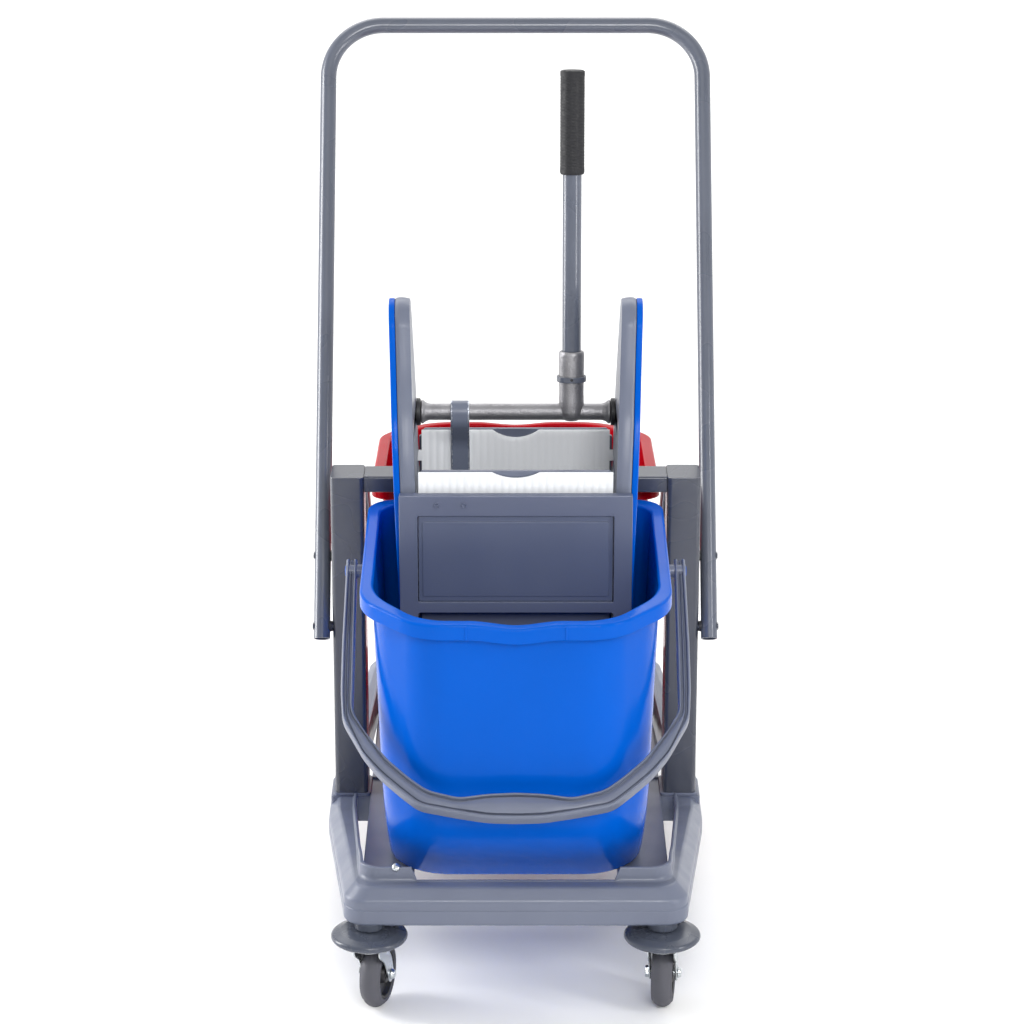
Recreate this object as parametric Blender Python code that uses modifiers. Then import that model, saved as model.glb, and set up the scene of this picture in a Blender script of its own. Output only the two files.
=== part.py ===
"""Two-bucket mop trolley with a press wringer.

Metres, +Z up. X is across, -Y is the front (wringer bucket), +Y the rear (rinse bucket).
The origin is on the floor, under the middle of the chassis.
"""

from math import atan2, cos, degrees, hypot, pi, radians, sin

import bmesh
import bpy
from mathutils import Matrix, Vector

NAME = "mop_trolley"
GAP = 0.0003             # clearance between pieces that touch
RUN = 0.0005             # running clearance of pieces that slide or turn

# Castors
WHEEL_RADIUS = 0.040
WHEEL_WIDTH = 0.024
TYRE_DEPTH = 0.0105
TRAIL = 0.030            # wheel axle behind the swivel axis
AXLE_RADIUS = 0.004
STEM_RADIUS = 0.005
BUMPER_RADIUS = 0.0435
BUMPER_Z = 2 * WHEEL_RADIUS + 0.0165   # underside of the bumper disc
BUMPER_HEIGHT = 0.014
FORK_SHEET = 0.002
CASTOR_YAW = {"front_left": -15, "front_right": -7, "rear_left": 172, "rear_right": 196}

# Bucket rims, which the widths of the trolley follow
RIM_HALF_WIDTH = 0.175
RIM_REAR = 0.024

# Chassis
HALF_LENGTH = 0.384
FRONT_HALF_WIDTH = RIM_HALF_WIDTH + 0.0175
MID_HALF_WIDTH = RIM_HALF_WIDTH + 0.0535
FLARE_END = 0.06         # the sides run straight within this distance of the middle
CORNER_RADIUS = 0.034
EDGE = 0.0125            # width of the sloped outer edge
BEAM_DEPTH = 0.032       # front to back of the end beams
RAIL_INNER_FRONT = FRONT_HALF_WIDTH - 0.0205
RAIL_INNER_MID = MID_HALF_WIDTH - 0.0345
SWIVEL_X = FRONT_HALF_WIDTH - 0.0265
SWIVEL_Y = HALF_LENGTH - 0.019
END_BOTTOM = BUMPER_Z + 0.0235
END_TOP = END_BOTTOM + 0.043
MID_BOTTOM = END_BOTTOM - 0.028
MID_TOP = MID_BOTTOM + 0.0355
EDGE_DROP = 0.0135       # height of the sloped outer edge
LIP_TOP = END_TOP + 0.017
LIP_THICK = 0.004
LIP_SLANT = 0.006        # how far a lip's end slants down towards the middle
LIP_LOW = 0.004          # height of the lip along the rails
LEDGE_TOP = MID_TOP + 0.0032
LEDGE_THICK = 0.009
LEDGE_INNER = RIM_HALF_WIDTH - 0.057
LIP_HALF_GAP = LEDGE_INNER   # the corner lips stop this far from the middle plane
CROSS_HALF_DEPTH = 0.030
BOSS_RADIUS = 0.018
SPIGOT_HEIGHT = 0.035

# Buckets
RIM_FRONT = HALF_LENGTH + 0.004
RIM_CHAMFER = 0.072      # front to back of the cut-off front corners
RIM_FRONT_HALF = RIM_HALF_WIDTH - 0.065
RIM_Z_FRONT = LEDGE_TOP + 0.3523
RIM_Z_REAR = RIM_Z_FRONT + 0.027
RIM_FLANGE = 0.012
RIM_SKIRT = 0.018
BUCKET_WALL = 0.003
BASE_HALF_WIDTH = RIM_HALF_WIDTH - 0.029
BASE_FRONT = RIM_FRONT - 0.116
BASE_REAR = RIM_REAR + 0.026
BASE_FRONT_HALF = RIM_FRONT_HALF - 0.004
BASE_CHAMFER = 0.045
BUCKET_CORNER = 0.028
BELLY_Z = LEDGE_TOP + 0.1393   # the front wall turns under below this height
BELLY_FRONT = RIM_FRONT - 0.023
SPOUT_DROP = 0.0045
SPOUT_BULGE = 0.003
SPOUT_HALF = 0.052

# Bails
BAIL_Y = 0.165
BAIL_Z = RIM_Z_FRONT - 0.015
BAIL_ANGLE = radians(-41)
BAIL_REACH = (RIM_FRONT + 0.0027 - BAIL_Y) / cos(BAIL_ANGLE)   # the grip hangs just clear of the belly
BAIL_HALF_WIDTH = RIM_HALF_WIDTH + 0.016
BAIL_GRIP_HALF = BAIL_HALF_WIDTH - 0.101
BAIL_THICK = 0.012
BAIL_PLATE = 0.014
PEG_RADIUS = 0.006

# Posts, cross bar and push handle
POST_OUTER_X = MID_HALF_WIDTH - 0.0075
POST_WIDTH = 0.040
POST_DEPTH = 0.055
POST_TOP = RIM_Z_REAR + 0.027
TUBE_WALL = 0.002
BAR_DEPTH = 0.045
BAR_HEIGHT = 0.020
HANDLE_RADIUS = 0.010
HANDLE_X = POST_OUTER_X + HANDLE_RADIUS + 0.003
HANDLE_WALL = 0.0015
HANDLE_LEAN = radians(30)
HANDLE_PIVOT_Z = POST_TOP - 0.152   # the leg's axis crosses the post's middle plane here
HANDLE_BELOW = 0.059
HANDLE_ABOVE = 0.722
HANDLE_BEND = 0.068
BOLT_PITCH = 0.087
BOLT_RADIUS = 0.003
BOLT_HEAD_RADIUS = 0.0055
SPACER_RADIUS = 0.006

# Wringer frame, whose heights follow the cross bar that it rests on
SIDE_INNER = RIM_HALF_WIDTH - 0.061
SIDE_SHEET = 0.003
SIDE_RIM = 0.0025
CROWN_RADIUS = 0.038
SIDE_OUTER_LOW = SIDE_INNER + 0.0128  # outer face of the trays at the height below
SIDE_LOW_Z = POST_TOP - 0.077
SIDE_FLARE = 0.0365      # the outer faces lean out this much per metre of height
TRAY_WIDTH = 0.020       # of the plate that a tray is cut from
COVER_START = SIDE_INNER + 0.016   # inner face of the plate that a cover is shaped from
COVER_PLATE = 0.010
COVER_THICK = 0.0072
FRAME_FRONT = 0.2190
FRAME_DEPTH = 0.011
FRAME_HALF_WIDTH = SIDE_INNER + 0.0185
FRAME_TOP = POST_TOP + 0.040
FRAME_FOOT = POST_TOP - 0.237
WINDOW_HALF = SIDE_INNER - 0.0025
WINDOW_TOP = FRAME_TOP - 0.025
WINDOW_LOW = FRAME_TOP - 0.128
LOWER_BAR = 0.013
PANEL_SHEET = 0.003
PANEL_SET_BACK = 0.004
JAW_HALF = SIDE_INNER - 0.0035
JAW_SHEET = 0.005
JAW_BACK_SHEET = 0.004
JAW_FOOT = FRAME_FOOT + 0.030
FRONT_JAW_Y = -0.197
FRONT_JAW_TOP = FRAME_TOP + 0.023
FRONT_JAW_FOOT_Y = -0.175
REAR_JAW_Y = -0.060
REAR_JAW_TOP = FRAME_TOP + 0.029
NOTCH_HALF = 0.027
NOTCH_DEPTH = 0.010
BEAM_SHEET = 0.0065
BEAM_HEIGHT = 0.052
LUG_X = SIDE_INNER - 0.044   # the wringer rests on the cross bar with two lugs
LUG_HALF = 0.015
FLOOR_SHEET = 0.004
DRAIN_PITCH = SIDE_INNER / 4
DRAIN_HALF = 0.005
DRAIN_MARGIN = 0.015

# Wringer press: a toothed sector on each end of the shaft rolls along a fixed rack
SHAFT_Y = -0.070
SHAFT_Z = POST_TOP + 0.095
SHAFT_RADIUS = 0.00975
JOURNAL_RADIUS = 0.008
PITCH_RADIUS = 0.045
TEETH = 30               # in a whole turn of the sector
PRESS_TEETH = 8          # the sector rolls this many teeth from open to closed
ADDENDUM = 0.0024
DEDENDUM = 0.0034
TOOTH_SHARE = 0.21       # half a tooth's thickness on the pitch line, as a share of the pitch
FLANK = radians(20)
GEAR_WIDTH = 0.007
GEAR_INNER = SIDE_INNER + 0.0045
RACK_HEIGHT = 0.010
TAB_Z = SHAFT_Z - PITCH_RADIUS - 0.012
TAB_HALF = 0.0065
BUSH_RADIUS = JOURNAL_RADIUS + 0.008
BUSH_SHEET = 0.005
LEVER_X = SIDE_INNER - 0.049
LEVER_LEAN = radians(6)
LEVER_LENGTH = 0.397
LEVER_RADIUS = 0.011
LEVER_WALL = 0.0015
SOCKET_RADIUS = LEVER_RADIUS + 0.004
SOCKET_TOP = 0.076
SOCKET_FLOOR = 0.030
RING_RADIUS = SOCKET_RADIUS + 0.0025
RING_LOW = 0.038
RING_HEIGHT = 0.009
GRIP_RADIUS = LEVER_RADIUS + 0.00365
GRIP_LENGTH = 0.119
STRAP_X = -LEVER_X
STRAP_WIDTH = 0.022
STRAP_SHEET = 0.003
STRAP_FOOT = SHAFT_Z - 0.097

TOOTH_PITCH = 2 * pi * PITCH_RADIUS / TEETH
TRAVEL = PRESS_TEETH * TOOTH_PITCH
POST_X = POST_OUTER_X - POST_WIDTH / 2
POST_INNER_X = POST_OUTER_X - POST_WIDTH
PAD_TOP = MID_TOP + 0.0001


# ---------------------------------------------------------------- helpers

def clear_scene():
    for obj in list(bpy.data.objects):
        bpy.data.objects.remove(obj, do_unlink=True)


def new_collection(name):
    made = bpy.data.collections.new(name)
    bpy.context.scene.collection.children.link(made)
    return made


clear_scene()
PARTS = new_collection(NAME)
CUTTERS = new_collection("cutters")


def material(name, colour, roughness, metallic=0.0):
    made = bpy.data.materials.new(name)
    made.use_nodes = True
    shader = made.node_tree.nodes["Principled BSDF"]
    shader.inputs["Base Color"].default_value = (*colour, 1)
    shader.inputs["Roughness"].default_value = roughness
    shader.inputs["Metallic"].default_value = metallic
    made.diffuse_color = (*colour, 1)
    return made


GREY_PLASTIC = material("grey_plastic", (0.22, 0.23, 0.29), 0.45)
BLUE_PLASTIC = material("blue_plastic", (0.0, 0.13, 0.66), 0.35)
RED_PLASTIC = material("red_plastic", (0.55, 0.01, 0.02), 0.35)
WHITE_PLASTIC = material("white_plastic", (0.80, 0.82, 0.85), 0.45)
DARK_PLASTIC = material("dark_plastic", (0.03, 0.03, 0.035), 0.5)
GREY_RUBBER = material("grey_rubber", (0.16, 0.16, 0.18), 0.7)
BLACK_RUBBER = material("black_rubber", (0.012, 0.012, 0.014), 0.6)
PAINTED_STEEL = material("painted_steel", (0.13, 0.15, 0.19), 0.35)
ZINC_STEEL = material("zinc_steel", (0.55, 0.60, 0.63), 0.3, 1.0)
CAST_METAL = material("cast_metal", (0.30, 0.30, 0.31), 0.5, 0.9)


def add(name, mesh, look=None, group=PARTS):
    """Link a mesh as an object, shaded smooth with sharp edges kept."""
    obj = bpy.data.objects.new(name, mesh)
    group.objects.link(obj)
    mesh.shade_smooth()
    mesh.set_sharp_from_angle(angle=radians(35))
    if look:
        mesh.materials.clear()
        mesh.materials.append(look)
    return obj


def from_bmesh(name, bm, look=None, group=PARTS):
    bmesh.ops.recalc_face_normals(bm, faces=bm.faces)
    mesh = bpy.data.meshes.new(name)
    bm.to_mesh(mesh)
    bm.free()
    return add(name, mesh, look, group)


def box(name, x, y, z, look=None, round_edges=0.0, axis=None, group=PARTS):
    """A box between three pairs of limits, with the edges along one axis rounded."""
    bm = bmesh.new()
    bmesh.ops.create_cube(bm, size=1)
    size = Vector((x[1] - x[0], y[1] - y[0], z[1] - z[0]))
    bmesh.ops.scale(bm, vec=size, verts=bm.verts)
    bmesh.ops.translate(bm, vec=((x[0] + x[1]) / 2, (y[0] + y[1]) / 2, (z[0] + z[1]) / 2), verts=bm.verts)
    if round_edges:
        along = [e for e in bm.edges
                 if abs((e.verts[0].co - e.verts[1].co).normalized()[axis]) > 0.9]
        bmesh.ops.bevel(bm, geom=along, offset=round_edges, segments=3, affect="EDGES", profile=0.5)
    return from_bmesh(name, bm, look, group)


def evaluated_mesh(obj):
    """The object's finished mesh in world space; the object itself is removed."""
    bpy.context.view_layer.update()
    depsgraph = bpy.context.evaluated_depsgraph_get()
    mesh = bpy.data.meshes.new_from_object(obj.evaluated_get(depsgraph))
    mesh.transform(obj.matrix_world)
    bpy.data.objects.remove(obj, do_unlink=True)
    bm = bmesh.new()
    bm.from_mesh(mesh)
    bmesh.ops.remove_doubles(bm, verts=bm.verts, dist=1e-6)
    bm.to_mesh(mesh)
    bm.free()
    return mesh


def turned(name, profile, place, look=None, steps=20, group=PARTS):
    """Turn (radius, height) points about Z, listed top to bottom on the outer side; then place them.

    A closed profile makes a ring. One that starts and ends at radius 0 makes a solid.
    """
    mesh = bpy.data.meshes.new(name)
    count = len(profile)
    ring = profile[0][0] > 0
    edges = [(i, (i + 1) % count) for i in range(count if ring else count - 1)]
    mesh.from_pydata([(r, 0, h) for r, h in profile], edges, [])
    obj = bpy.data.objects.new(name, mesh)
    group.objects.link(obj)
    screw = obj.modifiers.new("turn", "SCREW")
    screw.steps = steps
    screw.render_steps = steps
    screw.use_merge_vertices = True
    screw.merge_threshold = 0.00001
    obj.matrix_world = place
    bm = bmesh.new()
    bm.from_mesh(evaluated_mesh(obj))
    return from_bmesh(name, bm, look, group)


def flat(name, outline, holes, depth, place, look=None, group=PARTS):
    """A flat outline with holes, given thickness along its own Z from 0 to depth; then placed."""
    curve = bpy.data.curves.new(name, "CURVE")
    curve.dimensions = "2D"
    curve.fill_mode = "BOTH"
    curve.extrude = depth / 2
    for ring in [outline] + holes:
        spline = curve.splines.new("POLY")
        spline.points.add(len(ring) - 1)
        for point, (a, b) in zip(spline.points, ring):
            point.co = (a, b, 0, 1)
        spline.use_cyclic_u = True
    obj = bpy.data.objects.new(name, curve)
    group.objects.link(obj)
    obj.matrix_world = place @ Matrix.Translation((0, 0, depth / 2))
    bm = bmesh.new()
    bm.from_mesh(evaluated_mesh(obj))
    return from_bmesh(name, bm, look, group)


def tube(name, points, radius, sides, look=None, group=PARTS):
    """A round bar along a line of points, with closed ends."""
    curve = bpy.data.curves.new(name, "CURVE")
    curve.dimensions = "3D"
    curve.bevel_depth = radius
    curve.bevel_resolution = sides // 4
    curve.use_fill_caps = True
    spline = curve.splines.new("POLY")
    spline.points.add(len(points) - 1)
    for point, place in zip(spline.points, points):
        point.co = (*place, 1)
    obj = bpy.data.objects.new(name, curve)
    group.objects.link(obj)
    bm = bmesh.new()
    bm.from_mesh(evaluated_mesh(obj))
    return from_bmesh(name, bm, look, group)


def boolean(obj, tool, operation):
    """Cut the tool from the object, or join it on; the tool stays as a hidden guide."""
    for group in list(tool.users_collection):
        group.objects.unlink(tool)
    CUTTERS.objects.link(tool)
    tool.hide_render = True
    tool.display_type = "WIRE"
    change = obj.modifiers.new(operation.lower(), "BOOLEAN")
    change.operation = operation
    change.solver = "EXACT"
    change.object = tool


def cut(obj, *tools):
    for tool in tools:
        boolean(obj, tool, "DIFFERENCE")


def join(obj, *tools):
    for tool in tools:
        boolean(obj, tool, "UNION")


def frame_of(origin, x_axis, y_axis):
    """A placing matrix from an origin and the directions of its X and Y axes."""
    x = Vector(x_axis).normalized()
    y = Vector(y_axis).normalized()
    z = x.cross(y)
    rows = Matrix((x, y, z)).transposed().to_4x4()
    return Matrix.Translation(Vector(origin)) @ rows


def across(x):
    """Outlines in (Y, Z), thickness towards +X, starting at x."""
    return frame_of((x, 0, 0), (0, 1, 0), (0, 0, 1))


def along_y(y):
    """Outlines in (X, Z), thickness towards -Y, starting at y."""
    return frame_of((0, y, 0), (1, 0, 0), (0, 0, 1))


def rod_frame(origin, direction):
    """A frame whose Z runs along the direction."""
    turn = Vector(direction).to_track_quat("Z", "Y").to_matrix().to_4x4()
    return Matrix.Translation(Vector(origin)) @ turn


def rod(name, start, direction, length, radius, look=None, steps=16, group=PARTS):
    profile = [(0, length), (radius, length), (radius, 0), (0, 0)]
    return turned(name, profile, rod_frame(start, direction), look, steps, group)


def arc(centre, radius, start, end, count):
    """Points on an arc, angles in degrees, both ends included."""
    turns = [radians(start + (end - start) * i / count) for i in range(count + 1)]
    return [(centre[0] + radius * cos(t), centre[1] + radius * sin(t)) for t in turns]


def slot(centre, half_length, radius, count=6):
    """A slot outline with round ends along the first coordinate."""
    left = (centre[0] - half_length, centre[1])
    right = (centre[0] + half_length, centre[1])
    return arc(right, radius, -90, 90, count) + arc(left, radius, 90, 270, count)


def inset(outline, distance):
    """Move each side of a counter-clockwise outline inwards."""
    moved = []
    count = len(outline)
    for i in range(count):
        a = Vector(outline[i - 1])
        b = Vector(outline[i])
        c = Vector(outline[(i + 1) % count])
        before = (b - a).normalized()
        after = (c - b).normalized()
        inward = Vector((-before.y - after.y, before.x + after.x)).normalized()
        share = inward.dot(Vector((-before.y, before.x)))
        moved.append(tuple(b + inward * (distance / share)))
    return moved


def loft(name, rings, look, closed_ends=True, group=PARTS):
    """Skin a list of equal rings of points; the end rings are filled."""
    bm = bmesh.new()
    rows = [[bm.verts.new(point) for point in ring] for ring in rings]
    for low, high in zip(rows, rows[1:]):
        for i in range(len(low)):
            j = (i + 1) % len(low)
            bm.faces.new((low[i], low[j], high[j], high[i]))
    if closed_ends:
        bm.faces.new(list(reversed(rows[0])))
        bm.faces.new(rows[-1])
    return from_bmesh(name, bm, look, group)


def axis_empty(name, place):
    empty = bpy.data.objects.new(name, None)
    empty.empty_display_size = 0.03
    empty.matrix_world = place
    PARTS.objects.link(empty)
    return empty


def put_under(parent, *objects):
    """Parent to an empty on the joint's axis, with each origin moved onto that axis."""
    bpy.context.view_layer.update()
    for obj in objects:
        obj.data.transform(parent.matrix_world.inverted() @ obj.matrix_world)
        obj.parent = parent
        obj.matrix_parent_inverse = Matrix()
        obj.matrix_basis = Matrix()


def frozen(obj, look):
    """Replace an object by its finished mesh, so that nothing else needs to follow it."""
    name = obj.name
    obj.name = name + "_build"
    return add(name, evaluated_mesh(obj), look)


def mix(a, b, share):
    return a + (b - a) * share


# ---------------------------------------------------------------- chassis

def side_share(y):
    """0 at the corner of a side, 1 where the sides run straight."""
    corner_y = HALF_LENGTH - CORNER_RADIUS
    return min(1.0, max(0.0, (corner_y - abs(y)) / (corner_y - FLARE_END)))


def chassis_path(half_length, half_width_end, half_width_mid, radius):
    """A quarter of a plan outline: the end beam from the middle, the round corner, the flared side."""
    points = [(0, -half_length), (LIP_HALF_GAP - LIP_SLANT, -half_length), (LIP_HALF_GAP, -half_length)]
    centre = (half_width_end - radius, -half_length + radius)
    points += arc(centre, radius, -90, -8, 4)
    corner_x, corner_y = points[-1]
    for share in (0.15, 0.45, 0.75, 1.0):
        points.append((mix(corner_x, half_width_mid, share), mix(corner_y, -FLARE_END, share)))
    points.append((half_width_mid, 0))
    return points


def chassis_ring():
    outer = chassis_path(HALF_LENGTH, FRONT_HALF_WIDTH, MID_HALF_WIDTH, CORNER_RADIUS)
    edge = chassis_path(HALF_LENGTH - EDGE, FRONT_HALF_WIDTH - EDGE, MID_HALF_WIDTH - EDGE,
                        CORNER_RADIUS - EDGE)
    inner_y = HALF_LENGTH - BEAM_DEPTH
    inner = chassis_path(inner_y, RAIL_INNER_FRONT, RAIL_INNER_MID, CORNER_RADIUS)
    lip = chassis_path(inner_y + LIP_THICK, RAIL_INNER_FRONT + LIP_THICK, RAIL_INNER_MID + LIP_THICK,
                       CORNER_RADIUS)
    tall = LIP_TOP - END_TOP
    lip_heights = [LIP_LOW / 4] * 2 + [tall] * 6 + [mix(tall, LIP_LOW, 0.5)] + [LIP_LOW] * 4
    sections = []
    for k, rise in enumerate(lip_heights):
        share = side_share(outer[k][1])
        low = mix(END_BOTTOM, MID_BOTTOM, share)
        top = mix(END_TOP, MID_TOP, share)
        section = [
            (*outer[k], low), (*outer[k], top - EDGE_DROP), (*edge[k], top),
            (*lip[k], top), (*lip[k], top + rise), (*inner[k], top + rise), (*inner[k], low),
        ]
        sections.append(section)
    return loft("chassis_quarter", sections, GREY_PLASTIC, closed_ends=False)


def chassis():
    body = chassis_ring()
    for axis in (0, 1):
        mirror = body.modifiers.new("mirror", "MIRROR")
        mirror.use_axis = [axis == 0, axis == 1, False]
        mirror.use_clip = True
        mirror.merge_threshold = 0.0001
    body = frozen(body, GREY_PLASTIC)
    body.name = "chassis"
    span = RAIL_INNER_MID + 0.006
    cross = (-CROSS_HALF_DEPTH, CROSS_HALF_DEPTH)
    join(body, box("cross_member", (-span, span), cross, (MID_BOTTOM + 0.004, MID_TOP)))
    for side in (-1, 1):
        pad_x = sorted((side * (POST_INNER_X - 0.004), side * (MID_HALF_WIDTH - 0.002)))
        pad_y = (-POST_DEPTH / 2 - 0.002, POST_DEPTH / 2 + 0.002)
        join(body, box("post_pad", pad_x, pad_y, (MID_BOTTOM + 0.002, PAD_TOP)))
        cut(body, box("post_seat", pad_x, pad_y, (PAD_TOP, PAD_TOP + LIP_LOW * 3)))
        wall = TUBE_WALL + GAP
        spigot_x = (side * POST_X - POST_WIDTH / 2 + wall, side * POST_X + POST_WIDTH / 2 - wall)
        spigot_y = (-POST_DEPTH / 2 + wall, POST_DEPTH / 2 - wall)
        join(body, box("spigot", spigot_x, spigot_y, (MID_TOP - 0.010, MID_TOP + SPIGOT_HEIGHT)))
        for end in (-1, 1):
            ledge_x = sorted((side * LEDGE_INNER, side * (RAIL_INNER_FRONT + 0.006)))
            ledge_y = sorted((end * (CROSS_HALF_DEPTH - 0.006), end * (HALF_LENGTH - BEAM_DEPTH + 0.006)))
            join(body, box("ledge", ledge_x, ledge_y, (LEDGE_TOP - LEDGE_THICK, LEDGE_TOP)))
            foot = (side * SWIVEL_X, end * SWIVEL_Y, BUMPER_Z + BUMPER_HEIGHT + GAP * 4)
            join(body, rod("boss", foot, (0, 0, 1), 0.0200, BOSS_RADIUS))
            bore = (side * SWIVEL_X, end * SWIVEL_Y, BUMPER_Z + 0.0035)
            cut(body, rod("stem_bore", bore, (0, 0, 1), 0.0475, STEM_RADIUS + GAP, steps=12))
    return body


# ---------------------------------------------------------------- castors

def castor_meshes():
    """The five pieces of one castor, with the swivel axis on Z and the wheel trailing to +Y."""
    half = WHEEL_WIDTH / 2
    wheel_x = rod_frame((0, TRAIL, WHEEL_RADIUS), (1, 0, 0))
    inner = WHEEL_RADIUS - TYRE_DEPTH
    tread = [
        (inner, half), (WHEEL_RADIUS - 0.007, half), (WHEEL_RADIUS - 0.0015, half - 0.005),
        (WHEEL_RADIUS, 0.0),
        (WHEEL_RADIUS - 0.0015, 0.005 - half), (WHEEL_RADIUS - 0.007, -half), (inner, -half),
    ]
    tyre_steps = 20
    tyre = turned("tyre", tread, wheel_x, GREY_RUBBER, tyre_steps)
    hub_outer = inner * cos(pi / tyre_steps) - GAP
    bore = AXLE_RADIUS + GAP
    web = half * 0.35
    boss = AXLE_RADIUS + 0.005
    spokes = [
        (hub_outer, half - 0.001), (hub_outer, 0.001 - half), (hub_outer - 0.004, 0.001 - half),
        (boss, -web), (boss, -half), (bore, -half),
        (bore, half), (boss, half), (boss, web), (hub_outer - 0.004, half - 0.001),
    ]
    hub = turned("hub", spokes, wheel_x, DARK_PLASTIC, 12)
    leg_inner = half + 0.0022
    reach = leg_inner + FORK_SHEET
    head = reach + GAP
    axle_profile = [
        (0, head + 0.004), (0.0065, head + 0.004), (0.0065, head), (AXLE_RADIUS, head),
        (AXLE_RADIUS, -head), (0.0065, -head), (0.0065, -head - 0.004), (0, -head - 0.004),
    ]
    axle = turned("axle", axle_profile, wheel_x, ZINC_STEEL, 6)
    fork = fork_body(leg_inner)
    bore = STEM_RADIUS + GAP
    low = BUMPER_Z
    dome = [
        (BUMPER_RADIUS * 0.45, low + BUMPER_HEIGHT), (BUMPER_RADIUS * 0.75, low + BUMPER_HEIGHT * 0.82),
        (BUMPER_RADIUS - 0.002, low + BUMPER_HEIGHT * 0.5), (BUMPER_RADIUS, low + BUMPER_HEIGHT * 0.25),
        (BUMPER_RADIUS - 0.002, low), (bore, low), (bore, low + BUMPER_HEIGHT),
    ]
    disc = turned("disc", dome, Matrix(), GREY_PLASTIC, 24)
    return {"castor_fork": fork, "bumper_disc": disc, "wheel_tyre": tyre, "wheel_hub": hub,
            "wheel_axle": axle}


def fork_body(leg_inner):
    crown_low = WHEEL_RADIUS * 2 + 0.006
    crown_top = crown_low + 0.0035
    leg_half = 0.013
    crown = hypot(leg_inner + FORK_SHEET, leg_half) + 0.001
    fork = rod("fork", (0, 0, crown_low), (0, 0, 1), crown_top - crown_low, crown, ZINC_STEEL, 16)
    join(fork, rod("race", (0, 0, crown_top - 0.001), (0, 0, 1), BUMPER_Z - crown_top + 0.001 - GAP, 0.013))
    join(fork, rod("stem", (0, 0, crown_low + 0.001), (0, 0, 1), 0.058, STEM_RADIUS, steps=12))
    eye = (TRAIL, WHEEL_RADIUS)
    waist = crown_low - 0.006
    knee = crown_low - 0.024
    leg = [(-leg_half, crown_low + 0.002), (2 * GAP - leg_half, waist), (TRAIL * 0.27, knee)]
    leg += arc(eye, AXLE_RADIUS + 0.0045, 190, 360, 5)
    leg += [(TRAIL + 0.004, knee), (TRAIL * 0.55, waist), (leg_half, crown_low + 0.002)]
    hole = arc(eye, AXLE_RADIUS + GAP, 0, 315, 7)
    for x in (leg_inner, -leg_inner - FORK_SHEET):
        join(fork, flat("leg", leg, [hole], FORK_SHEET, across(x)))
    return frozen(fork, ZINC_STEEL)


def castors():
    pieces = castor_meshes()
    for corner, yaw in CASTOR_YAW.items():
        x = SWIVEL_X if "right" in corner else -SWIVEL_X
        y = -SWIVEL_Y if "front" in corner else SWIVEL_Y
        swivel = axis_empty("swivel_" + corner,
                            Matrix.Translation((x, y, 0)) @ Matrix.Rotation(radians(yaw), 4, "Z"))
        axle = axis_empty("axle_" + corner, Matrix.Translation((0, TRAIL, WHEEL_RADIUS)))
        axle.parent = swivel
        for piece, shape in pieces.items():
            copy = bpy.data.objects.new(piece + "_" + corner, shape.data)
            PARTS.objects.link(copy)
            copy.parent = swivel
            if piece in ("wheel_tyre", "wheel_hub"):
                copy.parent = axle
                copy.matrix_parent_inverse = Matrix.Translation((0, -TRAIL, -WHEEL_RADIUS))
    for shape in pieces.values():
        bpy.data.objects.remove(shape, do_unlink=True)


# ---------------------------------------------------------------- posts, cross bar, push handle

def handle_point(distance):
    """The (Y, Z) of a point along the handle leg's axis, measured from the post's middle plane."""
    return distance * sin(HANDLE_LEAN), HANDLE_PIVOT_Z + distance * cos(HANDLE_LEAN)


def posts():
    low = PAD_TOP + GAP
    for side, word in ((-1, "left"), (1, "right")):
        x = (side * POST_X - POST_WIDTH / 2, side * POST_X + POST_WIDTH / 2)
        y = (-POST_DEPTH / 2, POST_DEPTH / 2)
        post = box("post_" + word, x, y, (low, POST_TOP), PAINTED_STEEL, 0.005, 2)
        wall = TUBE_WALL
        hollow = box("post_bore", (x[0] + wall, x[1] - wall), (y[0] + wall, y[1] - wall),
                     (low - 0.01, POST_TOP - wall))
        cut(post, hollow)
        for distance in (-BOLT_PITCH / 2, BOLT_PITCH / 2):
            hole_y, hole_z = handle_point(distance)
            start = (side * (POST_X + POST_WIDTH / 4), hole_y, hole_z)
            cut(post, rod("bolt_hole", start, (side, 0, 0), POST_WIDTH / 2, BOLT_RADIUS + GAP, steps=10))
    half = POST_INNER_X - GAP
    y = (-BAR_DEPTH / 2, BAR_DEPTH / 2)
    bar = box("cross_bar", (-half, half), y, (POST_TOP - BAR_HEIGHT, POST_TOP), PAINTED_STEEL, 0.003, 0)
    wall = TUBE_WALL
    hollow_z = (POST_TOP - BAR_HEIGHT + wall, POST_TOP - wall)
    cut(bar, box("bar_bore", (-half - 0.01, half + 0.01), (y[0] + wall, y[1] - wall), hollow_z))


def handle_line(extra):
    """The handle's axis, from one open end to the other, lengthened by extra at both ends."""
    points = []
    for x, along in arc((HANDLE_X - HANDLE_BEND, HANDLE_ABOVE - HANDLE_BEND), HANDLE_BEND, 0, 90, 6):
        points.append((x, along))
    points = [(HANDLE_X, -HANDLE_BELOW - extra)] + points
    whole = points + [(-x, along) for x, along in reversed(points)]
    return [(x, *handle_point(along)) for x, along in whole]


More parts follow.
